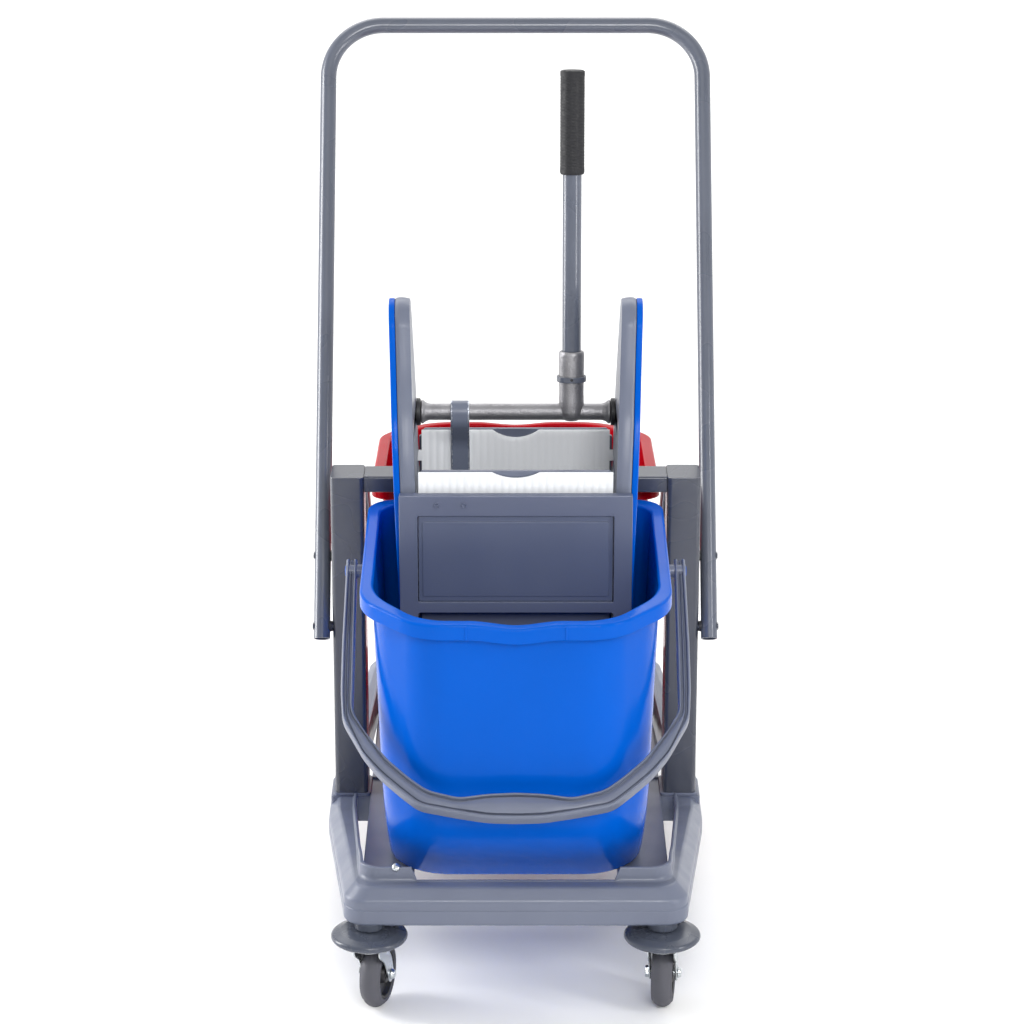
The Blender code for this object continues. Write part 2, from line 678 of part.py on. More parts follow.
def push_handle():
    handle = tube("push_handle", handle_line(0), HANDLE_RADIUS, 12, PAINTED_STEEL)
    cut(handle, tube("handle_bore", handle_line(0.01), HANDLE_RADIUS - HANDLE_WALL, 12))
    for side, word in ((-1, "left"), (1, "right")):
        for distance, level in ((-BOLT_PITCH / 2, "lower"), (BOLT_PITCH / 2, "upper")):
            y, z = handle_point(distance)
            outside = side * (HANDLE_X + HANDLE_RADIUS * 1.5)
            cut(handle, rod("bolt_way", (outside, y, z), (-side, 0, 0), HANDLE_RADIUS * 3,
                            BOLT_RADIUS + GAP, steps=10))
            head = HANDLE_X + HANDLE_RADIUS + 0.0006
            tip = POST_OUTER_X - 0.010
            length = head - tip
            shape = [
                (0, length + 0.0035), (BOLT_HEAD_RADIUS * 0.6, length + 0.0032),
                (BOLT_HEAD_RADIUS, length + 0.001),
                (BOLT_HEAD_RADIUS, length), (BOLT_RADIUS, length), (BOLT_RADIUS, 0), (0, 0),
            ]
            place = rod_frame((side * tip, y, z), (side, 0, 0))
            turned("handle_bolt_%s_%s" % (word, level), shape, place, ZINC_STEEL, 10)
            width = HANDLE_X - HANDLE_RADIUS - POST_OUTER_X - 2 * GAP
            bore = BOLT_RADIUS + GAP
            ring = [(SPACER_RADIUS, width), (SPACER_RADIUS, 0), (bore, 0), (bore, width)]
            place = rod_frame((side * (POST_OUTER_X + GAP), y, z), (side, 0, 0))
            turned("handle_spacer_%s_%s" % (word, level), ring, place, PAINTED_STEEL, 10)


# ---------------------------------------------------------------- buckets and bails

def round_corner(before, corner, after, radius):
    """Three points that round a corner."""
    corner = Vector(corner)
    start = corner + (Vector(before) - corner).normalized() * radius
    end = corner + (Vector(after) - corner).normalized() * radius
    middle = (start + end + 2 * corner) / 4
    return [tuple(start), tuple(middle), tuple(end)]


def bucket_outline(front, front_half, chamfer, half_width, rear, radius):
    """Half-outline mirrored to a full counter-clockwise ring: front middle, cut corner, side, rear."""
    first = (front_half, -front)
    second = (half_width, -front + chamfer)
    third = (half_width, -rear)
    straight = front_half - radius
    half = [(0, -front), (straight * 0.45, -front), (straight * 0.9, -front)]
    half += round_corner((0, -front), first, second, radius)
    half += round_corner(first, second, third, radius)
    half += round_corner(second, third, (0, -rear), radius)
    half += [(0, -rear)]
    return half + [(-x, y) for x, y in reversed(half[1:-1])]


def body_outline(z, inward):
    """The bucket wall's plan outline at height z, moved inwards."""
    rim_z = RIM_Z_FRONT - RIM_SKIRT / 2
    share = (z - LEDGE_TOP) / (rim_z - LEDGE_TOP)
    wall_front = RIM_FRONT - RIM_FLANGE
    if z >= BELLY_Z:
        front = mix(BELLY_FRONT, wall_front, (z - BELLY_Z) / (rim_z - BELLY_Z))
    else:
        under = 1 - max(0.0, (z - LEDGE_TOP) / (BELLY_Z - LEDGE_TOP))
        front = mix(BELLY_FRONT, BASE_FRONT, under ** 1.8)
    half_width = mix(BASE_HALF_WIDTH, RIM_HALF_WIDTH - RIM_FLANGE - 0.002, share ** 0.8)
    rear = mix(BASE_REAR, RIM_REAR + RIM_FLANGE, share)
    front_half = mix(BASE_FRONT_HALF, RIM_FRONT_HALF - RIM_FLANGE / 2, share)
    chamfer = mix(BASE_CHAMFER, RIM_CHAMFER, share)
    return bucket_outline(front - inward, front_half - inward * 0.4, chamfer, half_width - inward,
                          rear + inward, BUCKET_CORNER)


def rim_height(y):
    share = (RIM_FRONT + y) / (RIM_FRONT - RIM_REAR)
    return mix(RIM_Z_FRONT, RIM_Z_REAR, share)


def rim_ring(inward, below):
    """A ring of the rim: outer edge moved inwards and down, with the spout's dip and bulge."""
    outline = bucket_outline(RIM_FRONT - inward, RIM_FRONT_HALF - inward * 0.4, RIM_CHAMFER,
                             RIM_HALF_WIDTH - inward, RIM_REAR + inward, BUCKET_CORNER)
    ring = []
    for x, y in outline:
        dip = 0.0
        if y < -RIM_FRONT + inward + 0.001 and abs(x) < SPOUT_HALF:
            dip = cos(x / SPOUT_HALF * pi / 2)
        ring.append((x, y - SPOUT_BULGE * dip, rim_height(y) - SPOUT_DROP * dip - below))
    return ring


def bucket(name, look, turn):
    outer = []
    inner = []
    for rise in (GAP, 0.0123, 0.0343, 0.0743, BELLY_Z - LEDGE_TOP, 0.2293):
        z = LEDGE_TOP + rise
        outer.append([(x, y, z) for x, y in body_outline(z, 0)])
        z += max(0.0, BUCKET_WALL * (1 - rise / (BELLY_Z - LEDGE_TOP)))
        inner.append([(x, y, z) for x, y in body_outline(z, BUCKET_WALL)])
    wall = RIM_FLANGE
    flange = BUCKET_WALL * 0.8
    rings = outer + [
        rim_ring(wall, flange + 0.002), rim_ring(flange, flange), rim_ring(flange, RIM_SKIRT),
        rim_ring(0, RIM_SKIRT),
        rim_ring(0, 0.001), rim_ring(0.001, 0), rim_ring(wall + BUCKET_WALL, 0),
    ] + list(reversed(inner))
    body = loft(name, rings, look)
    for side in (-1, 1):
        root = RIM_HALF_WIDTH - RIM_FLANGE - 0.006
        tip = BAIL_HALF_WIDTH + BAIL_PLATE / 2 + 0.001
        peg = rod("bail_peg", (side * root, -BAIL_Y, BAIL_Z), (side, 0, 0), tip - root, PEG_RADIUS,
                  steps=12)
        join(body, peg)
    body = frozen(body, look)
    body.data.transform(turn)
    return body


def bail_shape():
    """The bail in its own plane: first coordinate across, second from the pivots to the grip.

    The outer and inner edges are half outlines from a pivot eye to the middle of the grip.
    """
    h = BAIL_HALF_WIDTH + BAIL_PLATE / 2
    reach = BAIL_REACH
    grip = BAIL_GRIP_HALF
    outer = [(h - 0.002, 0.0), (h, reach * 0.33), (h, reach * 0.535), (h - 0.0025, reach * 0.654),
             (h - 0.0274, reach * 0.807), (h - 0.046, reach * 0.888), (h - 0.0694, reach * 0.960),
             (grip + 0.018, reach * 1.017), (grip * 0.74, reach * 1.0455), (grip * 0.34, reach * 1.0655),
             (0.0, reach * 1.0685)]
    inner = [(h - 0.0145, 0.0), (h - 0.0145, reach * 0.535), (h - 0.0142, reach * 0.619),
             (h - 0.0266, reach * 0.696), (h - 0.0532, reach * 0.8165), (h - 0.0794, reach * 0.898),
             (grip + 0.008, reach * 0.950), (grip * 0.70, reach * 0.9805), (grip * 0.35, reach * 0.9645),
             (0.0, reach * 0.9595)]
    return outer, inner


def bail(name, look, turn):
    outer, inner = bail_shape()
    ring = outer + [(-x, s) for x, s in reversed(outer[:-1])]
    ring += [(-x, s) for x, s in inner] + list(reversed(inner[:-1]))
    forward = (0, -cos(BAIL_ANGLE), sin(BAIL_ANGLE))
    place = frame_of((0, -BAIL_Y, BAIL_Z), (1, 0, 0), forward)
    half = BAIL_THICK * 0.75
    body = flat(name, ring, [], half * 2, place @ Matrix.Translation((0, 0, -half)), look)
    for side in (-1, 1):
        start = (side * (BAIL_HALF_WIDTH - BAIL_PLATE / 2), -BAIL_Y, BAIL_Z)
        join(body, rod("bail_eye", start, (side, 0, 0), BAIL_PLATE, PEG_RADIUS + 0.005, steps=16))
        start = (side * (BAIL_HALF_WIDTH - BAIL_PLATE), -BAIL_Y, BAIL_Z)
        cut(body, rod("bail_hole", start, (side, 0, 0), BAIL_PLATE * 2, PEG_RADIUS + RUN, steps=12))
    body = frozen(body, look)
    body.data.transform(turn)
    hinge = axis_empty(name + "_hinge", turn @ Matrix.Translation((0, -BAIL_Y, BAIL_Z)))
    put_under(hinge, body)
    return body


def buckets():
    ahead = Matrix()
    behind = Matrix.Rotation(pi, 4, "Z")
    bucket("blue_bucket", BLUE_PLASTIC, ahead)
    bail("blue_bail", GREY_PLASTIC, ahead)
    bucket("red_bucket", RED_PLASTIC, behind)
    bail("red_bail", GREY_PLASTIC, behind)


# ---------------------------------------------------------------- wringer frame

def side_outline():
    """The wringer side in (Y, Z), counter-clockwise from the front foot."""
    front = -FRAME_FRONT + FRAME_DEPTH + GAP
    rest = POST_TOP
    foot = [(front, FRAME_FOOT), (SHAFT_Y + 0.012, FRAME_FOOT)]
    back = SHAFT_Y + 0.029
    rear = [(back - 0.006, rest - 0.047), (back, rest - 0.012), (back, SHAFT_Z + 0.008),
            (back - 0.011, SHAFT_Z + 0.068)]
    crown = arc((SHAFT_Y - 0.027, SHAFT_Z + 0.106), CROWN_RADIUS, 20, 160, 6)
    nose = [(SHAFT_Y - 0.088, SHAFT_Z + 0.068), (front + 0.0217, SHAFT_Z + 0.023),
            (front + 0.0077, SHAFT_Z - 0.020),
            (front, FRAME_TOP - 0.007)]
    return foot + rear + crown + nose


def tray_outer(z):
    """How far out the tray's open side is at height z."""
    return SIDE_OUTER_LOW + (z - SIDE_LOW_Z) * SIDE_FLARE


def lean_out(obj, limit):
    """Move the outer face of a plate onto the leaning outer plane."""
    for vertex in obj.data.vertices:
        if abs(vertex.co.x) > limit:
            away = tray_outer(vertex.co.z)
            vertex.co.x = away if vertex.co.x > 0 else -away


def shaft_slot(radius):
    return slot((SHAFT_Y - TRAVEL / 2, SHAFT_Z), TRAVEL / 2, radius)


def tab_slot():
    low = TAB_Z - TAB_HALF - RUN
    high = TAB_Z + TAB_HALF + RUN
    rear = REAR_JAW_Y + JAW_SHEET + RUN * 2
    front = REAR_JAW_Y - TRAVEL - RUN * 4
    return [(front, low), (rear, low), (rear, high), (front, high)]


def wringer_sides():
    outline = side_outline()
    bush_neck = JOURNAL_RADIUS + 0.002
    for side, word in ((-1, "left"), (1, "right")):
        start = SIDE_INNER if side > 0 else -SIDE_INNER - TRAY_WIDTH
        tray = flat("wringer_side_" + word, outline, [], TRAY_WIDTH, across(start), GREY_PLASTIC)
        lean_out(tray, SIDE_INNER + TRAY_WIDTH / 2)
        floor = SIDE_INNER + SIDE_SHEET
        start = floor if side > 0 else -floor - 0.04
        cut(tray, flat("tray_pocket", inset(outline, SIDE_RIM), [], 0.04, across(start)))
        start = SIDE_INNER - 0.01 if side > 0 else -SIDE_INNER - 0.01
        cut(tray, flat("shaft_way", shaft_slot(bush_neck + RUN), [], 0.02, across(start)))
        cut(tray, flat("tab_way", tab_slot(), [], 0.02, across(start)))
        start = COVER_START if side > 0 else -COVER_START - COVER_PLATE
        cover = flat("wringer_cover_" + word, inset(outline, 0.001), [], COVER_PLATE, across(start),
                     BLUE_PLASTIC)
        for vertex in cover.data.vertices:
            outer = abs(vertex.co.x) > COVER_START + COVER_PLATE / 2
            away = tray_outer(vertex.co.z) + GAP + (COVER_THICK if outer else 0.0)
            vertex.co.x = side * away


def wringer_front():
    foot = FRAME_FOOT
    half = FRAME_HALF_WIDTH
    stile = WINDOW_HALF
    bar_low = WINDOW_LOW - LOWER_BAR
    outline = [(-half, foot), (-stile, foot), (-stile, bar_low), (stile, bar_low), (stile, foot),
               (half, foot),
               (half, FRAME_TOP), (-half, FRAME_TOP)]
    window = [(-stile, WINDOW_LOW), (stile, WINDOW_LOW), (stile, WINDOW_TOP), (-stile, WINDOW_TOP)]
    rear = -FRAME_FRONT + FRAME_DEPTH
    flat("wringer_front_frame", outline, [window], FRAME_DEPTH, along_y(rear), GREY_PLASTIC)
    panel_x = (-stile + GAP, stile - GAP)
    panel_front = -FRAME_FRONT + PANEL_SET_BACK
    panel_y = (panel_front, panel_front + PANEL_SHEET)
    box("wringer_front_panel", panel_x, panel_y, (WINDOW_LOW + GAP, WINDOW_TOP - GAP), GREY_PLASTIC)


def notched(half, low, high):
    """A plate outline in (X, Z) with a shallow round notch in the middle of its top edge."""
    radius = (NOTCH_HALF ** 2 + NOTCH_DEPTH ** 2) / (2 * NOTCH_DEPTH)
    centre = (0, high - NOTCH_DEPTH + radius)
    swing = degrees(atan2(NOTCH_HALF, radius - NOTCH_DEPTH))
    bottom = arc(centre, radius, -90 + swing, -90 - swing, 6)
    return [(-half, low), (half, low), (half, high)] + bottom + [(-half, high)]


def front_jaw():
    lean = atan2(FRONT_JAW_FOOT_Y - FRONT_JAW_Y, FRONT_JAW_TOP - JAW_FOOT)
    up = (0, -sin(lean), cos(lean))
    length = hypot(FRONT_JAW_TOP - JAW_FOOT, FRONT_JAW_FOOT_Y - FRONT_JAW_Y)
    place = frame_of((0, FRONT_JAW_FOOT_Y, JAW_FOOT), (1, 0, 0), up)
    ahead = place @ Matrix.Translation((0, 0, JAW_BACK_SHEET + GAP))
    flat("front_jaw", notched(JAW_HALF, 0, length), [], JAW_SHEET, ahead, WHITE_PLASTIC)
    half = JAW_HALF - 0.002
    outline = [(-half, 0.004), (half, 0.004), (half, length - 0.003), (-half, length - 0.003)]
    flat("front_jaw_back", outline, [], JAW_BACK_SHEET, place, GREY_PLASTIC)


def wringer_rear_and_floor():
    half = SIDE_INNER - GAP
    rear = REAR_JAW_Y + JAW_SHEET + JAW_BACK_SHEET + GAP * 2 + RUN
    y = (rear, rear + BEAM_SHEET)
    low = POST_TOP + 0.008
    beam = box("wringer_rear_beam", (-half, half), y, (low, low + BEAM_HEIGHT), GREY_PLASTIC)
    for side in (-1, 1):
        x = (side * LUG_X - LUG_HALF, side * LUG_X + LUG_HALF)
        lug_z = (POST_TOP + GAP, low + 0.004)
        join(beam, box("rest_lug", x, (rear + 0.001, BAR_DEPTH / 4), lug_z))
    front = -FRAME_FRONT + FRAME_DEPTH + 0.006
    plate_y = (front, REAR_JAW_Y - 0.002)
    plate_z = (FRAME_FOOT + 0.001, FRAME_FOOT + 0.001 + FLOOR_SHEET)
    plate = box("wringer_floor", (-half, half), plate_y, plate_z, GREY_PLASTIC)
    for k in range(-3, 4):
        x = (k * DRAIN_PITCH - DRAIN_HALF, k * DRAIN_PITCH + DRAIN_HALF)
        drain_y = (plate_y[0] + DRAIN_MARGIN, plate_y[1] - DRAIN_MARGIN)
        cut(plate, box("drain", x, drain_y, (FRAME_FOOT - 0.01, FRAME_FOOT + 0.02)))


# ---------------------------------------------------------------- wringer press

def tooth_half(height):
    """Half the thickness of a tooth at a height above its pitch line."""
    return TOOTH_SHARE * TOOTH_PITCH - height * sin(FLANK) / cos(FLANK)


def sector_outline():
    """The toothed sector about its own centre, in (Y, Z): teeth from straight down round to the front."""
    points = []
    for k in range(-1, PRESS_TEETH + 2):
        middle = -pi / 2 - k * TOOTH_PITCH / PITCH_RADIUS
        for height, sign in ((-DEDENDUM, 1), (ADDENDUM, 1), (ADDENDUM, -1), (-DEDENDUM, -1)):
            radius = PITCH_RADIUS + height
            turn = middle + sign * tooth_half(height) / radius
            points.append((radius * cos(turn), radius * sin(turn)))
    hub = JOURNAL_RADIUS + 0.006
    ring = arc((0, 0), hub, 150, -60, 8)
    return points + ring


def rack_outline():
    """The rack in (Y, Z): a tooth either side of where the sector's bottom tooth sits."""
    line = SHAFT_Z - PITCH_RADIUS
    base = line - RACK_HEIGHT
    low = SHAFT_Y - (PRESS_TEETH + 2) * TOOTH_PITCH
    high = SHAFT_Y + 1.4 * TOOTH_PITCH
    points = [(low, base), (high, base), (high, line - DEDENDUM)]
    for k in range(1, -PRESS_TEETH - 2, -1):
        middle = SHAFT_Y + (k - 0.5) * TOOTH_PITCH
        for height, sign in ((-DEDENDUM, 1), (ADDENDUM, 1), (ADDENDUM, -1), (-DEDENDUM, -1)):
            points.append((middle + sign * tooth_half(height), line + height))
    points.append((low, line - DEDENDUM))
    return points


def shaft_frame():
    return Matrix.Translation((0, SHAFT_Y, SHAFT_Z))


def lever_frame():
    """Z runs along the lever, from the shaft's centre line."""
    return rod_frame((LEVER_X, SHAFT_Y, SHAFT_Z), (0, sin(LEVER_LEAN), cos(LEVER_LEAN)))


def press_shaft():
    half = SIDE_INNER - BUSH_SHEET - 2 * GAP
    end = GEAR_INNER + GEAR_WIDTH + 0.002
    flare = BUSH_RADIUS - 0.002
    profile = [
        (0, end), (JOURNAL_RADIUS, end), (JOURNAL_RADIUS, half), (flare, half),
        (SHAFT_RADIUS, half - 0.008),
        (SHAFT_RADIUS, 0.008 - half), (flare, -half), (JOURNAL_RADIUS, -half), (JOURNAL_RADIUS, -end),
        (0, -end),
    ]
    place = rod_frame((0, SHAFT_Y, SHAFT_Z), (1, 0, 0))
    shaft = turned("press_shaft", profile, place, CAST_METAL, 16)
    socket = [
        (SOCKET_RADIUS - 0.001, SOCKET_TOP), (SOCKET_RADIUS, SOCKET_TOP - 0.001), (SOCKET_RADIUS, 0.002),
        (SOCKET_RADIUS * 0.7, -SHAFT_RADIUS), (0, -SHAFT_RADIUS - 0.001), (0, SOCKET_FLOOR),
        (LEVER_RADIUS + GAP, SOCKET_FLOOR), (LEVER_RADIUS + GAP, SOCKET_TOP),
    ]
    join(shaft, turned_cup("lever_socket", socket, lever_frame()))
    return shaft


def turned_cup(name, profile, place, steps=16):
    """Turn an open profile whose two middle points lie on the axis, so that it makes a cup."""
    on_axis = [i for i, point in enumerate(profile) if point[0] == 0]
    first = profile[on_axis[1]:] + profile[:on_axis[0] + 1]
    return turned(name, first, place, CAST_METAL, steps)


def lever():
    place = lever_frame()
    low = SOCKET_FLOOR + GAP
    high = LEVER_LENGTH - 0.004
    wall = LEVER_RADIUS - LEVER_WALL
    pipe = turned("lever_tube", [(LEVER_RADIUS, high), (LEVER_RADIUS, low), (wall, low), (wall, high)],
                  place, PAINTED_STEEL, 16)
    bore = LEVER_RADIUS + GAP
    start = LEVER_LENGTH - GRIP_LENGTH
    profile = [(0, high + GAP), (bore, high + GAP), (bore, start), (GRIP_RADIUS - 0.001, start),
               (GRIP_RADIUS, start + 0.002), (GRIP_RADIUS, LEVER_LENGTH - 0.003),
               (GRIP_RADIUS - 0.002, LEVER_LENGTH), (0, LEVER_LENGTH)]
    grip = turned("lever_grip", profile, place, BLACK_RUBBER, 16)
    bore = SOCKET_RADIUS + GAP
    top = RING_LOW + RING_HEIGHT
    clamp = [(RING_RADIUS, top), (RING_RADIUS, RING_LOW), (bore, RING_LOW), (bore, top)]
    ring = turned("socket_ring", clamp, place, PAINTED_STEEL, 16)
    return pipe, grip, ring


def pinions_and_racks():
    pinions = []
    journal = arc((0, 0), JOURNAL_RADIUS + GAP, 0, 330, 11)
    for side, word in ((-1, "left"), (1, "right")):
        start = GEAR_INNER if side > 0 else -GEAR_INNER - GEAR_WIDTH
        place = across(start)
        gear_place = Matrix.Translation((0, SHAFT_Y, SHAFT_Z)) @ place
        pinions.append(flat("pinion_" + word, sector_outline(), [journal], GEAR_WIDTH, gear_place,
                            CAST_METAL))
        flat("rack_" + word, rack_outline(), [], GEAR_WIDTH, place, ZINC_STEEL)
    return pinions


def bushes():
    made = []
    bore = JOURNAL_RADIUS + GAP
    neck = JOURNAL_RADIUS + 0.002
    for side, word in ((-1, "left"), (1, "right")):
        start = SIDE_INNER - BUSH_SHEET - GAP
        tall = GEAR_INNER - start - GAP
        profile = [(neck, tall), (neck, BUSH_SHEET), (BUSH_RADIUS, BUSH_SHEET), (BUSH_RADIUS, 0),
                   (bore, 0), (bore, tall)]
        place = rod_frame((side * start, SHAFT_Y, SHAFT_Z), (side, 0, 0))
        made.append(turned("shaft_bush_" + word, profile, place, DARK_PLASTIC, 16))
    return made


def rear_jaw():
    low = JAW_FOOT
    place = along_y(REAR_JAW_Y + JAW_SHEET)
    jaw = flat("rear_jaw", notched(JAW_HALF, low, REAR_JAW_TOP), [], JAW_SHEET, place, WHITE_PLASTIC)
    for side in (-1, 1):
        x = sorted((side * (JAW_HALF - 0.006), side * (SIDE_INNER + SIDE_SHEET - GAP)))
        y = (REAR_JAW_Y + GAP, REAR_JAW_Y + JAW_SHEET - GAP)
        join(jaw, box("guide_tab", x, y, (TAB_Z - TAB_HALF, TAB_Z + TAB_HALF)))
    half = JAW_HALF - 0.002
    y = (REAR_JAW_Y + JAW_SHEET + GAP, REAR_JAW_Y + JAW_SHEET + GAP + JAW_BACK_SHEET)
    back = box("rear_jaw_back", (-half, half), y, (low + 0.004, REAR_JAW_TOP - 0.003), GREY_PLASTIC)
    return jaw, back


def jaw_strap():
    """A flat strap hooked over the shaft, running down onto the face of the moving jaw."""
    clear = SHAFT_RADIUS + RUN
    hook = arc((SHAFT_Y, SHAFT_Z), clear, -20, 180, 8)
    face = REAR_JAW_Y - GAP
    path = hook + [(SHAFT_Y - clear, SHAFT_Z - 0.012), (face, SHAFT_Z - 0.040), (face, STRAP_FOOT)]
    count = len(path)
    inner = []
    outer = []
    for i in range(count):
        before = Vector(path[max(i - 1, 0)])
        after = Vector(path[min(i + 1, count - 1)])
        along = (after - before).normalized()
        away = Vector((along.y, -along.x))
        inner.append(path[i])
        outer.append(tuple(Vector(path[i]) + away * STRAP_SHEET))
    outline = inner + list(reversed(outer))
    return flat("jaw_strap", outline, [], STRAP_WIDTH, across(STRAP_X - STRAP_WIDTH / 2), PAINTED_STEEL)


def wringer_press():
    jaw, back = rear_jaw()
    strap = jaw_strap()
    carriage = axis_empty("press_carriage", shaft_frame())
    put_under(carriage, jaw, back, strap, *bushes())
    shaft = press_shaft()
    turning = [frozen(shaft, CAST_METAL), *lever(), *pinions_and_racks()]
    axis = axis_empty("press_axis", shaft_frame())
    put_under(axis, *turning)
    axis.parent = carriage
    axis.matrix_parent_inverse = shaft_frame().inverted()


chassis()
castors()
posts()
push_handle()
buckets()
wringer_sides()
wringer_front()
front_jaw()
wringer_rear_and_floor()
wringer_press()
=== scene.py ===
"""Two-bucket mop trolley with a lever press wringer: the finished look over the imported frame.

Metres, +Z up, -Y the front. Each section makes one piece or group of like pieces, in assembly order.
"""

from math import cos, pi, radians, sin

import bmesh
import bpy
import numpy as np
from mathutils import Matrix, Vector


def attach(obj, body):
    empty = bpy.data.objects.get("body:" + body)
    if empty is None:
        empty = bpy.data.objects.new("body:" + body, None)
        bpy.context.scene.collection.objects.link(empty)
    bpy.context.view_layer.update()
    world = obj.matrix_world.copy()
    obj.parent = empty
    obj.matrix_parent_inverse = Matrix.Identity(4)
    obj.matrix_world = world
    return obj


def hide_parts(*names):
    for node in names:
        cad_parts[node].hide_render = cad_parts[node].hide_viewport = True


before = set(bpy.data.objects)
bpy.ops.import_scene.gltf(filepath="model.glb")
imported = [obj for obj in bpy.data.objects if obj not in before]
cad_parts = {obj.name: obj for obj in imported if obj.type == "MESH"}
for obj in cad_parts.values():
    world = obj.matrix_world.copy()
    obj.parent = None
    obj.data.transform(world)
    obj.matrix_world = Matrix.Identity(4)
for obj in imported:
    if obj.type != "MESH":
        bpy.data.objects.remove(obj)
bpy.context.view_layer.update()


# ---------------------------------------------------------------- floor, light and camera
# A pale seamless paper floor and a plain white room, lit by soft boxes at both sides and above.
# The camera stands in front at eye level with a long lens, looking down a little.

def linear(code):
    """An sRGB hex colour as linear RGBA: the standard curve, a short straight foot and a 2.4 power."""
    channels = np.array([int(code[k:k + 2], 16) for k in (0, 2, 4)]) / 255
    straight = channels / 12.92
    curved = ((channels + 0.055) / 1.055) ** 2.4
    return (*np.where(channels <= 0.04045, straight, curved), 1.0)


def node(tree, kind, settings=None, **inputs):
    """Add one shader node. An input is a plain value, or another node's output socket to link; it is
    named by its label, or by i and its number where labels repeat."""
    made = tree.nodes.new(kind)
    for name, value in (settings or {}).items():
        setattr(made, name, value)
    for name, value in inputs.items():
        by_number = name[0] == "i" and name[1:].isdigit()
        socket = made.inputs[int(name[1:]) if by_number else name.replace("_", " ")]
        if isinstance(value, bpy.types.NodeSocket):
            tree.links.new(value, socket)
        else:
            socket.default_value = value
    return made


def object_points(tree):
    return node(tree, "ShaderNodeTexCoord").outputs["Object"]


def feed(tree, shader, **sources):
    """Link output sockets to the shader's inputs of the same names."""
    for name, source in sources.items():
        tree.links.new(source, shader.inputs[name.replace("_", " ")])


def new_material(name, **settings):
    """A Principled material with settings on its own sockets; returns it, its tree and its shader."""
    made = bpy.data.materials.new(name)
    made.use_nodes = True
    shader = made.node_tree.nodes["Principled BSDF"]
    for key, value in settings.items():
        shader.inputs[key.replace("_", " ")].default_value = value
    return made, made.node_tree, shader


FLOOR_SIZE = 16.0
# Matt paper: nearly white, with a tone that drifts slowly and no gloss.
paper, tree, shader = new_material("pale_paper_floor", Roughness=0.95)
grain = node(tree, "ShaderNodeTexNoise", Vector=object_points(tree), Scale=3.0, Detail=2.0)
tint = node(tree, "ShaderNodeMix", {"data_type": "RGBA"}, Factor=grain.outputs["Fac"],
            i6=linear("f4f4f4"), i7=linear("f7f7f7"))
feed(tree, shader, Base_Color=tint.outputs[2])
floor_mesh = bpy.data.meshes.new("floor")
corners = np.array([(-1, -1, 0), (1, -1, 0), (1, 1, 0), (-1, 1, 0)]) * FLOOR_SIZE / 2
floor_mesh.from_pydata(corners.tolist(), [], [(0, 1, 2, 3)])
floor_mesh.materials.append(paper)
floor = bpy.data.objects.new("floor", floor_mesh)
bpy.context.scene.collection.objects.link(floor)

room = bpy.data.worlds.new("white_room")
bpy.context.scene.world = room
room.use_nodes = True
sky = room.node_tree
towards = node(sky, "ShaderNodeSeparateXYZ", Vector=node(sky, "ShaderNodeTexCoord").outputs["Generated"])
behind = node(sky, "ShaderNodeMapRange", Value=towards.outputs["Y"], i1=-0.5, i2=0.4, i3=0.42, i4=1.1)
sky.links.new(behind.outputs["Result"], sky.nodes["Background"].inputs["Strength"])
sky.nodes["Background"].inputs["Color"].default_value = linear("ffffff")


def soft_box(name, place, target, width, height, power):
    lamp = bpy.data.lights.new(name, "AREA")
    lamp.shape = "RECTANGLE"
    lamp.size = width
    lamp.size_y = height
    lamp.energy = power
    box = bpy.data.objects.new(name, lamp)
    box.location = place
    box.rotation_euler = (Vector(target) - Vector(place)).to_track_quat("-Z", "Y").to_euler()
    bpy.context.scene.collection.objects.link(box)


soft_box("light_left", (-2.7, 0.3, 1.2), (0, 0, 0.4), 0.9, 2.2, 84)
soft_box("light_right", (2.2, -1.6, 1.3), (0, 0, 0.5), 0.35, 2.0, 30)
soft_box("light_above", (0.0, -1.3, 2.9), (0, 0, 0.4), 2.0, 1.2, 6)
soft_box("light_front", (0.5, -3.6, 2.3), (0, 0, 0.5), 1.8, 0.9, 78)
soft_box("light_behind", (0.0, 4.6, 4.2), (0, 4.6, 0.0), 6.0, 5.0, 190)

SENSOR_WIDTH, VIEW_SHARE = 36.0, 1024 / 3300
LOOK_DOWN = radians(18.26)
lens = bpy.data.cameras.new("camera")
lens.sensor_width = SENSOR_WIDTH
lens.lens = SENSOR_WIDTH / VIEW_SHARE
lens.clip_start = 0.1
lens.clip_end = 60.0
camera = bpy.data.objects.new("camera", lens)
camera.location = (-0.0043, -3.769, 1.729)
camera.rotation_euler = (pi / 2 - LOOK_DOWN, 0, 0)
bpy.context.scene.collection.objects.link(camera)
bpy.context.scene.camera = camera
bpy.context.scene.view_settings.view_transform = "Standard"


# ---------------------------------------------------------------- chassis
# One injection moulding in grey polypropylene with a sloped outer edge, raised corner lips,
# ledges that carry the buckets, and a cross member with the post sockets.

def unit(vectors):
    return vectors / np.maximum(np.linalg.norm(vectors, axis=-1, keepdims=True), 1e-12)


